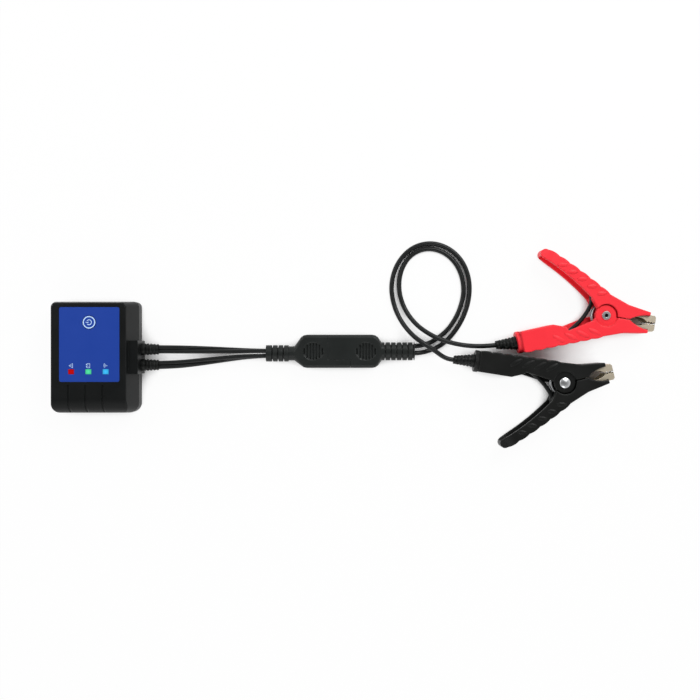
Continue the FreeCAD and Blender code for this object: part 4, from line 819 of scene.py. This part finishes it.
# %% Round the visible solids
EDGE_WIDTHS = {
    "top_cover": 0.3, "bottom_cover": 0.3, "label_overlay": 0.12, "power_button": 0.12,
    "led_window_red": 0.15, "led_window_green": 0.15, "led_window_blue": 0.15,
    "upper_strain_relief": 0.2, "lower_strain_relief": 0.2,
    "tester_connector_housing": 0.2, "lead_connector_housing": 0.2,
}
CLAMP_EDGE_WIDTHS = {
    "lead_handle": 0.5, "free_handle": 0.5, "lead_jaw": 0.15, "free_jaw": 0.15,
    "pivot_rivet": 0.2, "lead_boot": 0.2,
}
for colour in CLAMPS:
    for part_name, width in CLAMP_EDGE_WIDTHS.items():
        EDGE_WIDTHS[colour + "_" + part_name] = width
for solid_name, width in EDGE_WIDTHS.items():
    rounded_copy(solid_name, width, *SHAPES.get(solid_name, ()))

# %% [markdown]
# ## The two clamp leads
# From the connector two soft leads run along the floor in a loose loop and come back over
# themselves to the clamps. A NURBS curve is the natural tool: its control points are the points of
# the leads' route, and the curve passes smoothly near them, as a springy cable does. A bevel gives
# the round sheath. Where a lead crosses over another, its points rise and come down again.

# %% Helper for cables
def route_curve(name, route):
    """A NURBS curve with the points of a route, in mm, as its control points."""
    curve = bpy.data.curves.new(name, "CURVE")
    curve.dimensions = "3D"
    curve.resolution_u = 10
    spline = curve.splines.new("NURBS")
    spline.points.add(len(route) - 1)
    for point, place in zip(spline.points, route):
        point.co = (*(Vector(place) * MM), 1.0)
    spline.order_u = 3
    spline.use_endpoint_u = True
    return curve


print("helper for cables is ready")

# %% Lay the clamp leads
LEAD_DIAMETER = 3.4
RED_ROUTE = [
    (232.9, 8.15, 6.6), (236.9, 8.15, 6.6), (245.0, 10.6, 3.9), (252.2, 15.1, 2.1), (260.0, 22.2, 1.9),
    (267.2, 35.1, 1.9), (270.4, 50.2, 1.9), (266.7, 65.7, 1.9), (257.0, 76.8, 1.9), (243.4, 80.9, 1.9),
    (230.4, 75.9, 1.9), (222.8, 63.5, 1.9), (221.6, 48.7, 1.9), (225.8, 35.4, 2.2), (233.5, 24.4, 5.2),
    (243.1, 17.0, 8.8), (253.9, 11.9, 9.6), (266.3, 8.9, 9.2), (277.4, 7.9, 9.0), (286.98, 8.18, 9.0),
    (291.95, 8.73, 9.0),
]
BLACK_ROUTE = [
    (232.9, 2.95, 6.6), (236.9, 2.95, 6.6), (244.6, 4.8, 4.1), (252.6, 8.3, 2.1), (261.2, 16.0, 1.9),
    (269.1, 27.9, 1.9), (273.8, 42.1, 1.9), (274.2, 57.0, 1.9), (269.1, 70.9, 1.9), (258.9, 80.7, 1.9),
    (245.2, 84.8, 1.9), (231.1, 81.0, 1.9), (220.6, 69.7, 1.9), (215.9, 54.5, 1.9), (217.4, 40.0, 1.9),
    (222.7, 27.1, 3.6), (230.6, 16.5, 8.6), (238.3, 10.6, 11.6), (246.3, 5.6, 11.4),
    (256.12, -1.57, 9.0), (261.12, -1.83, 9.0),
]
for colour, route in (("red", RED_ROUTE), ("black", BLACK_ROUTE)):
    curve = route_curve(colour + "_clamp_lead", route)
    curve.bevel_depth = LEAD_DIAMETER / 2 * MM
    curve.bevel_resolution = 6
    curve.use_fill_caps = True
    lead = add_piece(curve.name, curve, "lead_set", colour + "_lead")

# %% [markdown]
# ## The two twin cables
# Between the box and the connector run two flat cables, each of two cores side by side, and each
# makes a quarter turn on its way. A bevelled curve would only give a round cable, so a figure of
# eight is carried along the route as a mesh: the route's own NURBS spline is evaluated to points,
# and at each point the outline is set square to the path and turned a little further.

# %% Helpers that carry an outline along a route
CORE_DIAMETER = 3.1
CORE_SPACING = 2.95
CORE_SIDES = 24


def spline_points(name, route):
    """Points along a route's NURBS spline, read from the evaluated curve."""
    guide = add_object(name + "_guide", route_curve(name + "_guide", route))
    line = evaluated_mesh(guide)
    points = [vertex.co.copy() for vertex in line.vertices]
    bpy.data.objects.remove(guide)
    bpy.data.meshes.remove(line)
    return points


def twin_outline():
    """The outline of two touching cores, as points across and up from the middle, in metres."""
    radius = CORE_DIAMETER / 2 * MM
    offset = CORE_SPACING / 2 * MM
    meeting = math.acos(offset / radius)
    outline = []
    for side in (1, -1):
        for step in range(CORE_SIDES + 1):
            angle = (math.pi - meeting) * (2 * step / CORE_SIDES - 1)
            across = side * (offset + radius * math.cos(angle))
            outline.append((across, side * radius * math.sin(angle)))
    return outline


def round_outline(diameter, sides):
    """A circle as points across and up, in metres."""
    radius = diameter / 2 * MM
    turns = [2 * math.pi * side / sides for side in range(sides)]
    return [(radius * math.cos(turn), radius * math.sin(turn)) for turn in turns]


def swept_mesh(name, points, outline, turn=0.0):
    """A closed mesh of an outline carried along points, turned evenly by an angle on the way."""
    mesh = bmesh.new()
    rings = []
    for index, point in enumerate(points):
        ahead = points[min(index + 1, len(points) - 1)] - points[max(index - 1, 0)]
        across = ahead.cross(Vector((0, 0, 1))).normalized()
        up = across.cross(ahead).normalized()
        angle = turn * index / (len(points) - 1)
        right = across * math.cos(angle) + up * math.sin(angle)
        above = up * math.cos(angle) - across * math.sin(angle)
        rings.append([mesh.verts.new(point + right * x + above * y) for x, y in outline])
    skin_rings(mesh, rings)
    data = write_mesh(mesh, bpy.data.meshes.new(name))
    data.shade_smooth()
    data.set_sharp_from_angle(angle=SMOOTH_LIMIT)
    return data


print("a twin cable's outline:", len(twin_outline()), "points")

# %% Lay the twin cables
UPPER_ROUTE = [
    (46.4, 5.7, 10.0), (58.5, 5.65, 9.5), (72.0, 5.45, 7.6), (85.4, 5.15, 6.1), (98.9, 4.85, 5.8),
    (112.4, 4.65, 6.3), (124.5, 4.6, 6.6),
]
LOWER_ROUTE = [
    (46.4, -5.7, 10.0), (58.5, -5.4, 9.5), (72.0, -4.05, 7.6), (85.4, -2.4, 6.1), (98.9, -0.75, 5.8),
    (112.4, 0.55, 6.3), (124.5, 0.9, 6.6),
]
for name, route, turn in (("upper", UPPER_ROUTE, math.pi / 2), ("lower", LOWER_ROUTE, -math.pi / 2)):
    path = spline_points(name, route)
    sheath = swept_mesh(name + "_twin_cable", path, twin_outline(), turn)
    cable = add_piece(sheath.name, sheath, "tester", name + "_tester_cable")

# %% [markdown]
# ## Springs and jumper wires in the clamps
# Inside each clamp a torsion spring sits round the rivet and pushes the handles apart, and a short
# wire joins the two jaws so that both carry current. Both pieces are worked out in the clamp's own
# frame, with the rivet at zero and the jaws along +X, and then moved to where the clamp lies. When a
# clamp opens, one end of each stays with the lead handle and the other follows the free handle; here
# neither piece rides on a body.

# %% Wind the springs
SPRING_WIRE = 1.5
SPRING_SIDES = 12
SPRING_RADIUS = 8.7
SPRING_PITCH = 2.0
SPRING_TURNS = 2
LEAD_LEG = Vector((-20.0, -19.7))
FREE_LEGS = {"red": Vector((-20.0, 22.5)), "black": Vector((-20.0, 20.75))}
TURN_STEPS = 40


def spring_path(free_leg):
    """A straight leg, a helix round the rivet, and the other straight leg, in mm."""
    start = math.atan2(LEAD_LEG.y, LEAD_LEG.x) + math.acos(SPRING_RADIUS / LEAD_LEG.length)
    stop = math.atan2(free_leg.y, free_leg.x) - math.acos(SPRING_RADIUS / free_leg.length)
    while stop - start < 2 * math.pi * SPRING_TURNS:
        stop += 2 * math.pi
    rise = SPRING_PITCH * (stop - start) / (2 * math.pi)
    steps = round(TURN_STEPS * (stop - start) / (2 * math.pi))
    coil = []
    for step in range(steps + 1):
        share = step / steps
        turn = start + (stop - start) * share
        level = rise * (share * share * (3 - 2 * share) - 0.5)
        coil.append(Vector((SPRING_RADIUS * math.cos(turn), SPRING_RADIUS * math.sin(turn), level)))
    first = Vector((*LEAD_LEG, -rise / 2))
    last = Vector((*free_leg, rise / 2))
    return [first, first.lerp(coil[0], 0.5)] + coil + [coil[-1].lerp(last, 0.5), last], rise


for colour in CLAMPS:
    path, rise = spring_path(FREE_LEGS[colour])
    points = [in_clamp(colour, point) for point in path]
    coil = swept_mesh(colour + "_torsion_spring", points, round_outline(SPRING_WIRE, SPRING_SIDES))
    spring = add_piece(coil.name, coil, None, colour + "_spring")
    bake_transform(spring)

# %% Lay the jumper wires
JUMPER_DIAMETER = 3.1
WIRE_SIDES = 16
JUMPER_ROUTE = [(-10.1, 10.8), (-10.5, 4.9), (-14.5, -4.7), (-21.3, -14.0), (-29.0, -22.4)]
JUMPER_STARTS = {"red": (-13.0, 19.2), "black": (-13.0, 18.1)}
for colour in CLAMPS:
    route = [(*place, 0.0) for place in [JUMPER_STARTS[colour]] + JUMPER_ROUTE]
    name = colour + "_jaw_jumper"
    path = spline_points(name, [in_clamp(colour, place) / MM for place in route])
    wire = swept_mesh(name, path, round_outline(JUMPER_DIAMETER, WIRE_SIDES))
    jumper = add_piece(name, wire, None, colour + "_jumper_wire")
    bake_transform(jumper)

# %% [markdown]
# ## Wires inside the box
# Behind each strain relief the cable's two cores go to the board's terminals. Nobody sees them while
# the box is closed, but a part is looked at from every side, so they are short round wires too.

# %% Lay the inner wires
INNER_WIRE = 2.4
INNER_WIRE_START = 17.0
INNER_WIRE_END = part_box("inner_wires")[1].x / MM
BEND_STEP = 1.0
BEND_RISE = 0.15
EXIT_Y = 5.7
EXIT_Z = 10.0


def joined_mesh(name, meshes):
    """One mesh of several, which are removed."""
    joined = bmesh.new()
    for mesh in meshes:
        joined.from_mesh(mesh)
        bpy.data.meshes.remove(mesh)
    return write_mesh(joined, bpy.data.meshes.new(name))


wire_meshes = []
middle = (INNER_WIRE_START + INNER_WIRE_END) / 2
for exit_y in (EXIT_Y, -EXIT_Y):
    for side in (1, -1):
        y = exit_y + side * CORE_DIAMETER / 2
        route = [
            (INNER_WIRE_START, y, EXIT_Z), (middle - BEND_STEP, y, EXIT_Z + BEND_RISE),
            (middle + BEND_STEP, y, EXIT_Z - BEND_RISE), (INNER_WIRE_END, y, EXIT_Z),
        ]
        path = spline_points("inner_wire", route)
        wire_meshes.append(swept_mesh("inner_wire", path, round_outline(INNER_WIRE, WIRE_SIDES)))
wiring = joined_mesh("inner_wiring", wire_meshes)
wiring.shade_smooth()
add_piece("inner_wiring", wiring, "tester", "inner_wires")

# %% [markdown]
# ## Repeated shapes by Geometry Nodes
# The bridges in the rubber boots, the cover screws and the ribs on the clamp handles each repeat one
# small shape by a rule. A geometry tree states the rule once, with named inputs for the sizes and the
# finish. It runs on an empty helper object, and what it grew is kept as a plain mesh.

# %% Helpers for geometry trees
def end_tree(tree, instances, finish, smooth):
    """Realize what a geometry tree made, shade it, give it its finish and put it out."""
    shape = instances.outputs["Instances"]
    for kind, more in (
        ("GeometryNodeRealizeInstances", {}),
        ("GeometryNodeSetShadeSmooth", {"Shade Smooth": smooth}),
        ("GeometryNodeSetMaterial", {"Material": finish}),
    ):
        shape = tree.add(kind, {"Geometry": shape, **more}).outputs["Geometry"]
    end_group(tree, {"Geometry": shape})


def grown_mesh(builder, inputs, place):
    """Run a geometry tree with its named inputs, and return the mesh it grows, moved by a matrix."""
    seed = add_object("seed", bpy.data.meshes.new("seed"))
    grow = seed.modifiers.new("grow", "NODES")
    grow.node_group = builder.tree
    for socket in builder.tree.interface.items_tree:
        if socket.in_out == "INPUT":
            grow[socket.identifier] = inputs[socket.name]
    mesh = evaluated_mesh(seed)
    bpy.data.objects.remove(seed)
    mesh.transform(place)
    return mesh


print("helpers for geometry trees are ready")


# %% [markdown]
# A strain relief bends because its rubber is cut through by slots, and it holds because the slots
# are staggered: each ring of slots has bridges where the next ring has gaps. The solids have plain
# ring grooves, so the bridges are grown here. Point number `i` belongs to ring `i // n`, and every
# second ring is turned by half a step.

# %% Tree: staggered bridges in ring grooves
RELIEF_FACE = 34.4
relief_inputs = {
    "Rings": 4, "Per Ring": 2, "Phase": math.pi / 4, "Start": 3.05 * MM, "Pitch": 2.4 * MM,
    "Radius": 3.75 * MM, "Taper": -0.1 * MM, "Lean": 0.0, "Length": 1.5 * MM, "Width": 2.2 * MM,
    "Depth": 0.7 * MM, "Finish": finishes["rubber_black"],
}
bridges, given = new_group("staggered_bridges", "GeometryNodeTree", relief_inputs)
total = bridges.math("MULTIPLY", given["Rings"], given["Per Ring"])
spots = bridges.add("GeometryNodePoints", {"Count": total})
number = bridges.add("GeometryNodeInputIndex").outputs["Index"]
ring = bridges.math("FLOOR", bridges.math("DIVIDE", number, given["Per Ring"]))
half_turn = bridges.math("MULTIPLY", bridges.math("MODULO", ring, 2.0), 0.5)
turns = bridges.math("DIVIDE", bridges.math("ADD", number, half_turn), given["Per Ring"])
angle = bridges.math("MULTIPLY_ADD", turns, 2 * math.pi, given["Phase"])
along = bridges.math("MULTIPLY_ADD", ring, given["Pitch"], given["Start"])
radius = bridges.math("MULTIPLY_ADD", ring, given["Taper"], given["Radius"])
across = bridges.math("MULTIPLY", radius, bridges.math("COSINE", angle))
leant = bridges.math("MULTIPLY_ADD", along, given["Lean"], across)
upward = bridges.math("MULTIPLY", radius, bridges.math("SINE", angle))
placed = bridges.add("GeometryNodeSetPosition", {
    "Geometry": spots.outputs[0], "Position": bridges.vector(X=along, Y=leant, Z=upward),
})
block_size = bridges.vector(X=given["Length"], Y=given["Depth"], Z=given["Width"])
block = bridges.add("GeometryNodeMeshCube", {"Size": block_size})
many = bridges.add("GeometryNodeInstanceOnPoints", {
    "Points": placed.outputs["Geometry"], "Instance": block.outputs["Mesh"],
    "Rotation": bridges.vector(X=angle),
})
end_tree(bridges, many, given["Finish"], smooth=False)

for name, y in (("upper", EXIT_Y), ("lower", -EXIT_Y)):
    seat = Matrix.Translation(Vector((RELIEF_FACE, y, EXIT_Z)) * MM)
    mesh = grown_mesh(bridges, relief_inputs, seat)
    add_piece(name + "_relief_bridges", mesh, "tester", slot="rubber_black")

# %% Bridges in the clamps' boots
LEAD_ANGLE = math.radians(21.2)
LEAD_LENGTH = 57.4
LEAD_HALF_DEPTH = 7.5
BOOT_DISC = 3.2
BOOT_LENGTH = 15.0
BOOT_DRIFT = -1.3
boot_inputs = {
    "Rings": 5, "Per Ring": 2, "Phase": math.pi / 4, "Start": 3.1 * MM, "Pitch": 2.5 * MM,
    "Radius": 4.3 * MM, "Taper": -0.33 * MM, "Lean": BOOT_DRIFT / BOOT_LENGTH, "Length": 1.4 * MM,
    "Width": 2.0 * MM, "Depth": 0.9 * MM, "Finish": finishes["rubber_black"],
}
start, along, inward = handle_lines(LEAD_ANGLE, -1)
boot_start = start + LEAD_LENGTH * along + LEAD_HALF_DEPTH * inward + BOOT_DISC * along
seat = Matrix.Translation(boot_start * MM) @ Matrix.Rotation(math.pi + LEAD_ANGLE, 4, "Z")
for colour, clamp_frame in CLAMP_FRAMES.items():
    mesh = grown_mesh(bridges, boot_inputs, clamp_frame @ seat)
    add_piece(colour + "_boot_bridges", mesh, "lead_set", slot="rubber_black")

# %% [markdown]
# Four screws hold the covers together from below. Each has a flat head with a cross recess, which is
# two crossed bars taken out of the head. They stand on the corners of a grid, which gives the four
# places at once.

# %% Tree: cover screws
HEAD_DIAMETER = 5.6
HEAD_HEIGHT = 2.0
low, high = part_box("cover_screws")
screw_inputs = {
    "Spread X": high.x - low.x - HEAD_DIAMETER * MM, "Spread Y": high.y - low.y - HEAD_DIAMETER * MM,
    "Head": HEAD_DIAMETER * MM, "Head Height": HEAD_HEIGHT * MM, "Shank": 3.0 * MM,
    "Shank Length": high.z - low.z - HEAD_HEIGHT * MM, "Recess Width": 0.9 * MM,
    "Recess Length": 3.4 * MM, "Recess Depth": 1.2 * MM, "Finish": finishes["screw_steel"],
}
screws, given = new_group("cover_screws", "GeometryNodeTree", screw_inputs)


def raised(geometry, height):
    """A part of the screw, lifted by a height."""
    lift = {"Geometry": geometry, "Translation": screws.vector(Z=height)}
    return screws.add("GeometryNodeTransform", lift).outputs["Geometry"]


def screw_cylinder(diameter, length):
    """A cylinder that stands on the zero level."""
    radius = screws.math("DIVIDE", diameter, 2.0)
    sizes = {"Vertices": 40, "Radius": radius, "Depth": length}
    body = screws.add("GeometryNodeMeshCylinder", sizes).outputs["Mesh"]
    return raised(body, screws.math("DIVIDE", length, 2.0))


recess_height = screws.math("MULTIPLY", given["Recess Depth"], 2.0)
head = screw_cylinder(given["Head"], given["Head Height"])
recessed = screws.add("GeometryNodeMeshBoolean", {"Mesh 1": head}, operation="DIFFERENCE")
for wide, deep in (("Recess Width", "Recess Length"), ("Recess Length", "Recess Width")):
    bar_size = screws.vector(X=given[wide], Y=given[deep], Z=recess_height)
    bar = screws.add("GeometryNodeMeshCube", {"Size": bar_size})
    screws.fill(recessed, {"Mesh 2": bar.outputs["Mesh"]})
shank = raised(screw_cylinder(given["Shank"], given["Shank Length"]), given["Head Height"])
screw = screws.add("GeometryNodeJoinGeometry", {"Geometry": recessed.outputs["Mesh"]})
screws.fill(screw, {"Geometry": shank})
grid = screws.add("GeometryNodeMeshGrid", {
    "Size X": given["Spread X"], "Size Y": given["Spread Y"], "Vertices X": 2, "Vertices Y": 2,
})
four = screws.add("GeometryNodeInstanceOnPoints", {
    "Points": grid.outputs["Mesh"], "Instance": screw.outputs["Geometry"],
})
end_tree(screws, four, given["Finish"], smooth=False)

seat = Matrix.Translation(((low.x + high.x) / 2, (low.y + high.y) / 2, low.z))
add_piece("cross_recess_screws", grown_mesh(screws, screw_inputs, seat), "tester", "cover_screws")

# %% [markdown]
# The clamp handles carry slanting ribs along their backs, so that wet fingers don't slip. A rib is a
# long flat drop that stands a little proud of the handle's side. A line of points runs along the
# handle's back, and a rib stands on each.

# %% Tree: grip ribs
RIB_START = 5.5
RIB_FORMS = {"lead": (4, 10.5, 4.6), "free": (5, 7.6, 3.3)}
RIB_HEIGHT = 1.2
RIB_SLANT = math.radians(38)
PROUD_ABOVE, PROUD_BELOW = 0.5, 0.15
rib_inputs = {
    "Count": 5, "Pitch": 8.7 * MM, "Length": 7.6 * MM, "Width": 3.4 * MM, "Height": RIB_HEIGHT * MM,
    "Slant": RIB_SLANT, "Finish": finishes["handle_red"],
}
ribs, given = new_group("grip_ribs", "GeometryNodeTree", rib_inputs)
line = ribs.add("GeometryNodeMeshLine", {
    "Count": given["Count"], "Offset": ribs.vector(X=given["Pitch"]),
})
ball = ribs.add("GeometryNodeMeshUVSphere", {"Segments": 28, "Rings": 14, "Radius": 0.5})
row = ribs.add("GeometryNodeInstanceOnPoints", {
    "Points": line.outputs["Mesh"], "Instance": ball.outputs["Mesh"],
    "Rotation": ribs.vector(Z=given["Slant"]),
    "Scale": ribs.vector(X=given["Length"], Y=given["Width"], Z=given["Height"]),
})
end_tree(ribs, row, given["Finish"], smooth=True)


def handle_ribs(colour, handle, angle, side):
    """Ribs on both faces of a handle, whose back leaves the shoulder at an angle on one side."""
    count, length, inset = RIB_FORMS[handle]
    start, along, inward = handle_lines(angle, side)
    turn = Matrix.Rotation(math.atan2(along.y, along.x), 4, "Z")
    slot = "handle_" + colour
    inputs = {
        **rib_inputs, "Count": count, "Length": length * MM, "Slant": side * RIB_SLANT,
        "Finish": finishes[slot],
    }
    meshes = []
    for face in (1, -1):
        lies_up = (face > 0) == (colour == "red")
        proud = PROUD_ABOVE if lies_up else PROUD_BELOW
        first = start + along * RIB_START + inward * inset
        first.z = face * (HALF_CLAMP + proud - RIB_HEIGHT / 2)
        place = CLAMP_FRAMES[colour] @ Matrix.Translation(first * MM) @ turn
        meshes.append(grown_mesh(ribs, inputs, place))
    body = "lead_set" if handle == "lead" else colour + "_free_handle"
    mesh = joined_mesh(colour + "_" + handle + "_ribs", meshes)
    add_piece(mesh.name, mesh, body, slot=slot)


for colour in CLAMPS:
    handle_ribs(colour, "lead", LEAD_ANGLE, -1)
    handle_ribs(colour, "free", FREE_ANGLES[colour], 1)

# %% [markdown]
# ## Print on the label and the button
# The label is printed in white: a ring and a power sign on the button, and a plain sign by each
# window for a warning, the battery and the radio link. Screen print is a film of ink, a few
# hundredths of a millimetre thick, so each sign is made of strokes: flat ribbons along a line of
# points, thickened by Solidify. The signs read along +Y, so what is up on a sign is -X here.

# %% Helpers for printed strokes
INK = 0.05
SHARPEST_MITRE = 0.5


def ink_stroke(mesh, points, width, closed):
    """Add a flat ribbon along points in the plane, in mm, to a mesh."""
    points = [Vector(point) for point in points]
    count = len(points)
    rows = []
    for index, point in enumerate(points):
        before = points[index - 1] if closed or index else point
        after = points[(index + 1) % count] if closed or index < count - 1 else point
        arriving = (point - before) if point != before else (after - point)
        leaving = (after - point) if point != after else arriving
        tangent = (arriving.normalized() + leaving.normalized()).normalized()
        reach = width / 2 / max(SHARPEST_MITRE, tangent.dot(leaving.normalized()))
        side = Vector((-tangent.y, tangent.x)) * reach
        rows.append([mesh.verts.new((*(place * MM), 0.0)) for place in (point + side, point - side)])
    pairs = list(zip(rows, rows[1:])) + ([(rows[-1], rows[0])] if closed else [])
    for (left, right), (next_left, next_right) in pairs:
        mesh.faces.new((left, right, next_right, next_left))


def arc_points(radius, start, stop, steps, x=0.0):
    """Points on an arc round a place on a sign's middle line, with angles in degrees."""
    turns = [math.radians(start + (stop - start) * step / steps) for step in range(steps + 1)]
    return [(x + radius * math.cos(turn), radius * math.sin(turn)) for turn in turns]


def printed_piece(name, signs, level, body):
    """A film of ink on a level in metres. Each sign is its middle and its strokes around that."""
    mesh = bmesh.new()
    for (x, y), strokes in signs:
        for points, width, closed in strokes:
            ink_stroke(mesh, [(x + across, y + along) for across, along in points], width, closed)
    bmesh.ops.recalc_face_normals(mesh, faces=mesh.faces)
    data = write_mesh(mesh, bpy.data.meshes.new(name))
    data.transform(Matrix.Translation((0.0, 0.0, level)))
    piece = add_object(name, data)
    run_modifier(piece, "SOLIDIFY", thickness=INK * MM, offset=0.0)
    finish_piece(piece, body, slot="ceramic_white", look="print_white")


print("ink:", INK, "mm thick")

# %% Print the power sign on the button
BUTTON = (0.65, 24.85)
# A stroke is its points, its width, and whether it closes on itself.
POWER_SIGN = [
    (arc_points(4.05, 0, 354, 59), 0.8, True),
    (arc_points(1.75, -140, 140, 32), 0.55, False),
    ([(-2.3, 0.0), (-0.3, 0.0)], 0.55, False),
]
printed_piece("power_sign", [(BUTTON, POWER_SIGN)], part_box("power_button")[1].z, "power_key")

# %% Print a sign by each window
SIGN_Y = -5.9
WARNING_SIGN = [
    ([(-1.4, 0.0), (1.1, -1.45), (1.1, 1.45)], 0.26, True),
    ([(-0.4, 0.0), (0.4, 0.0)], 0.28, False),
    ([(0.62, 0.0), (0.86, 0.0)], 0.28, False),
]
BATTERY_SIGN = [
    ([(-0.85, -1.45), (1.1, -1.45), (1.1, 1.45), (-0.85, 1.45)], 0.28, True),
    ([(0.13, -1.05), (0.13, -0.45)], 0.24, False),
    ([(0.13, 0.45), (0.13, 1.05)], 0.24, False),
    ([(-0.17, 0.75), (0.43, 0.75)], 0.24, False),
    ([(-1.3, -1.25), (-1.3, -0.45)], 0.5, False),
    ([(-1.3, 0.45), (-1.3, 1.25)], 0.5, False),
]
LINK_FOOT = 0.95
LINK_SIGN = [(arc_points(radius, 135, 225, 12, LINK_FOOT), 0.28, False) for radius in (0.8, 1.5, 2.2)]
LINK_SIGN.append((arc_points(0.16, 0, 330, 11, LINK_FOOT), 0.26, True))
window_signs = []
for step, strokes in ((-1, WARNING_SIGN), (0, BATTERY_SIGN), (1, LINK_SIGN)):
    window_signs.append(((window_x(step), SIGN_Y), strokes))
printed_piece("window_signs", window_signs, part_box("label_overlay")[1].z, "tester")
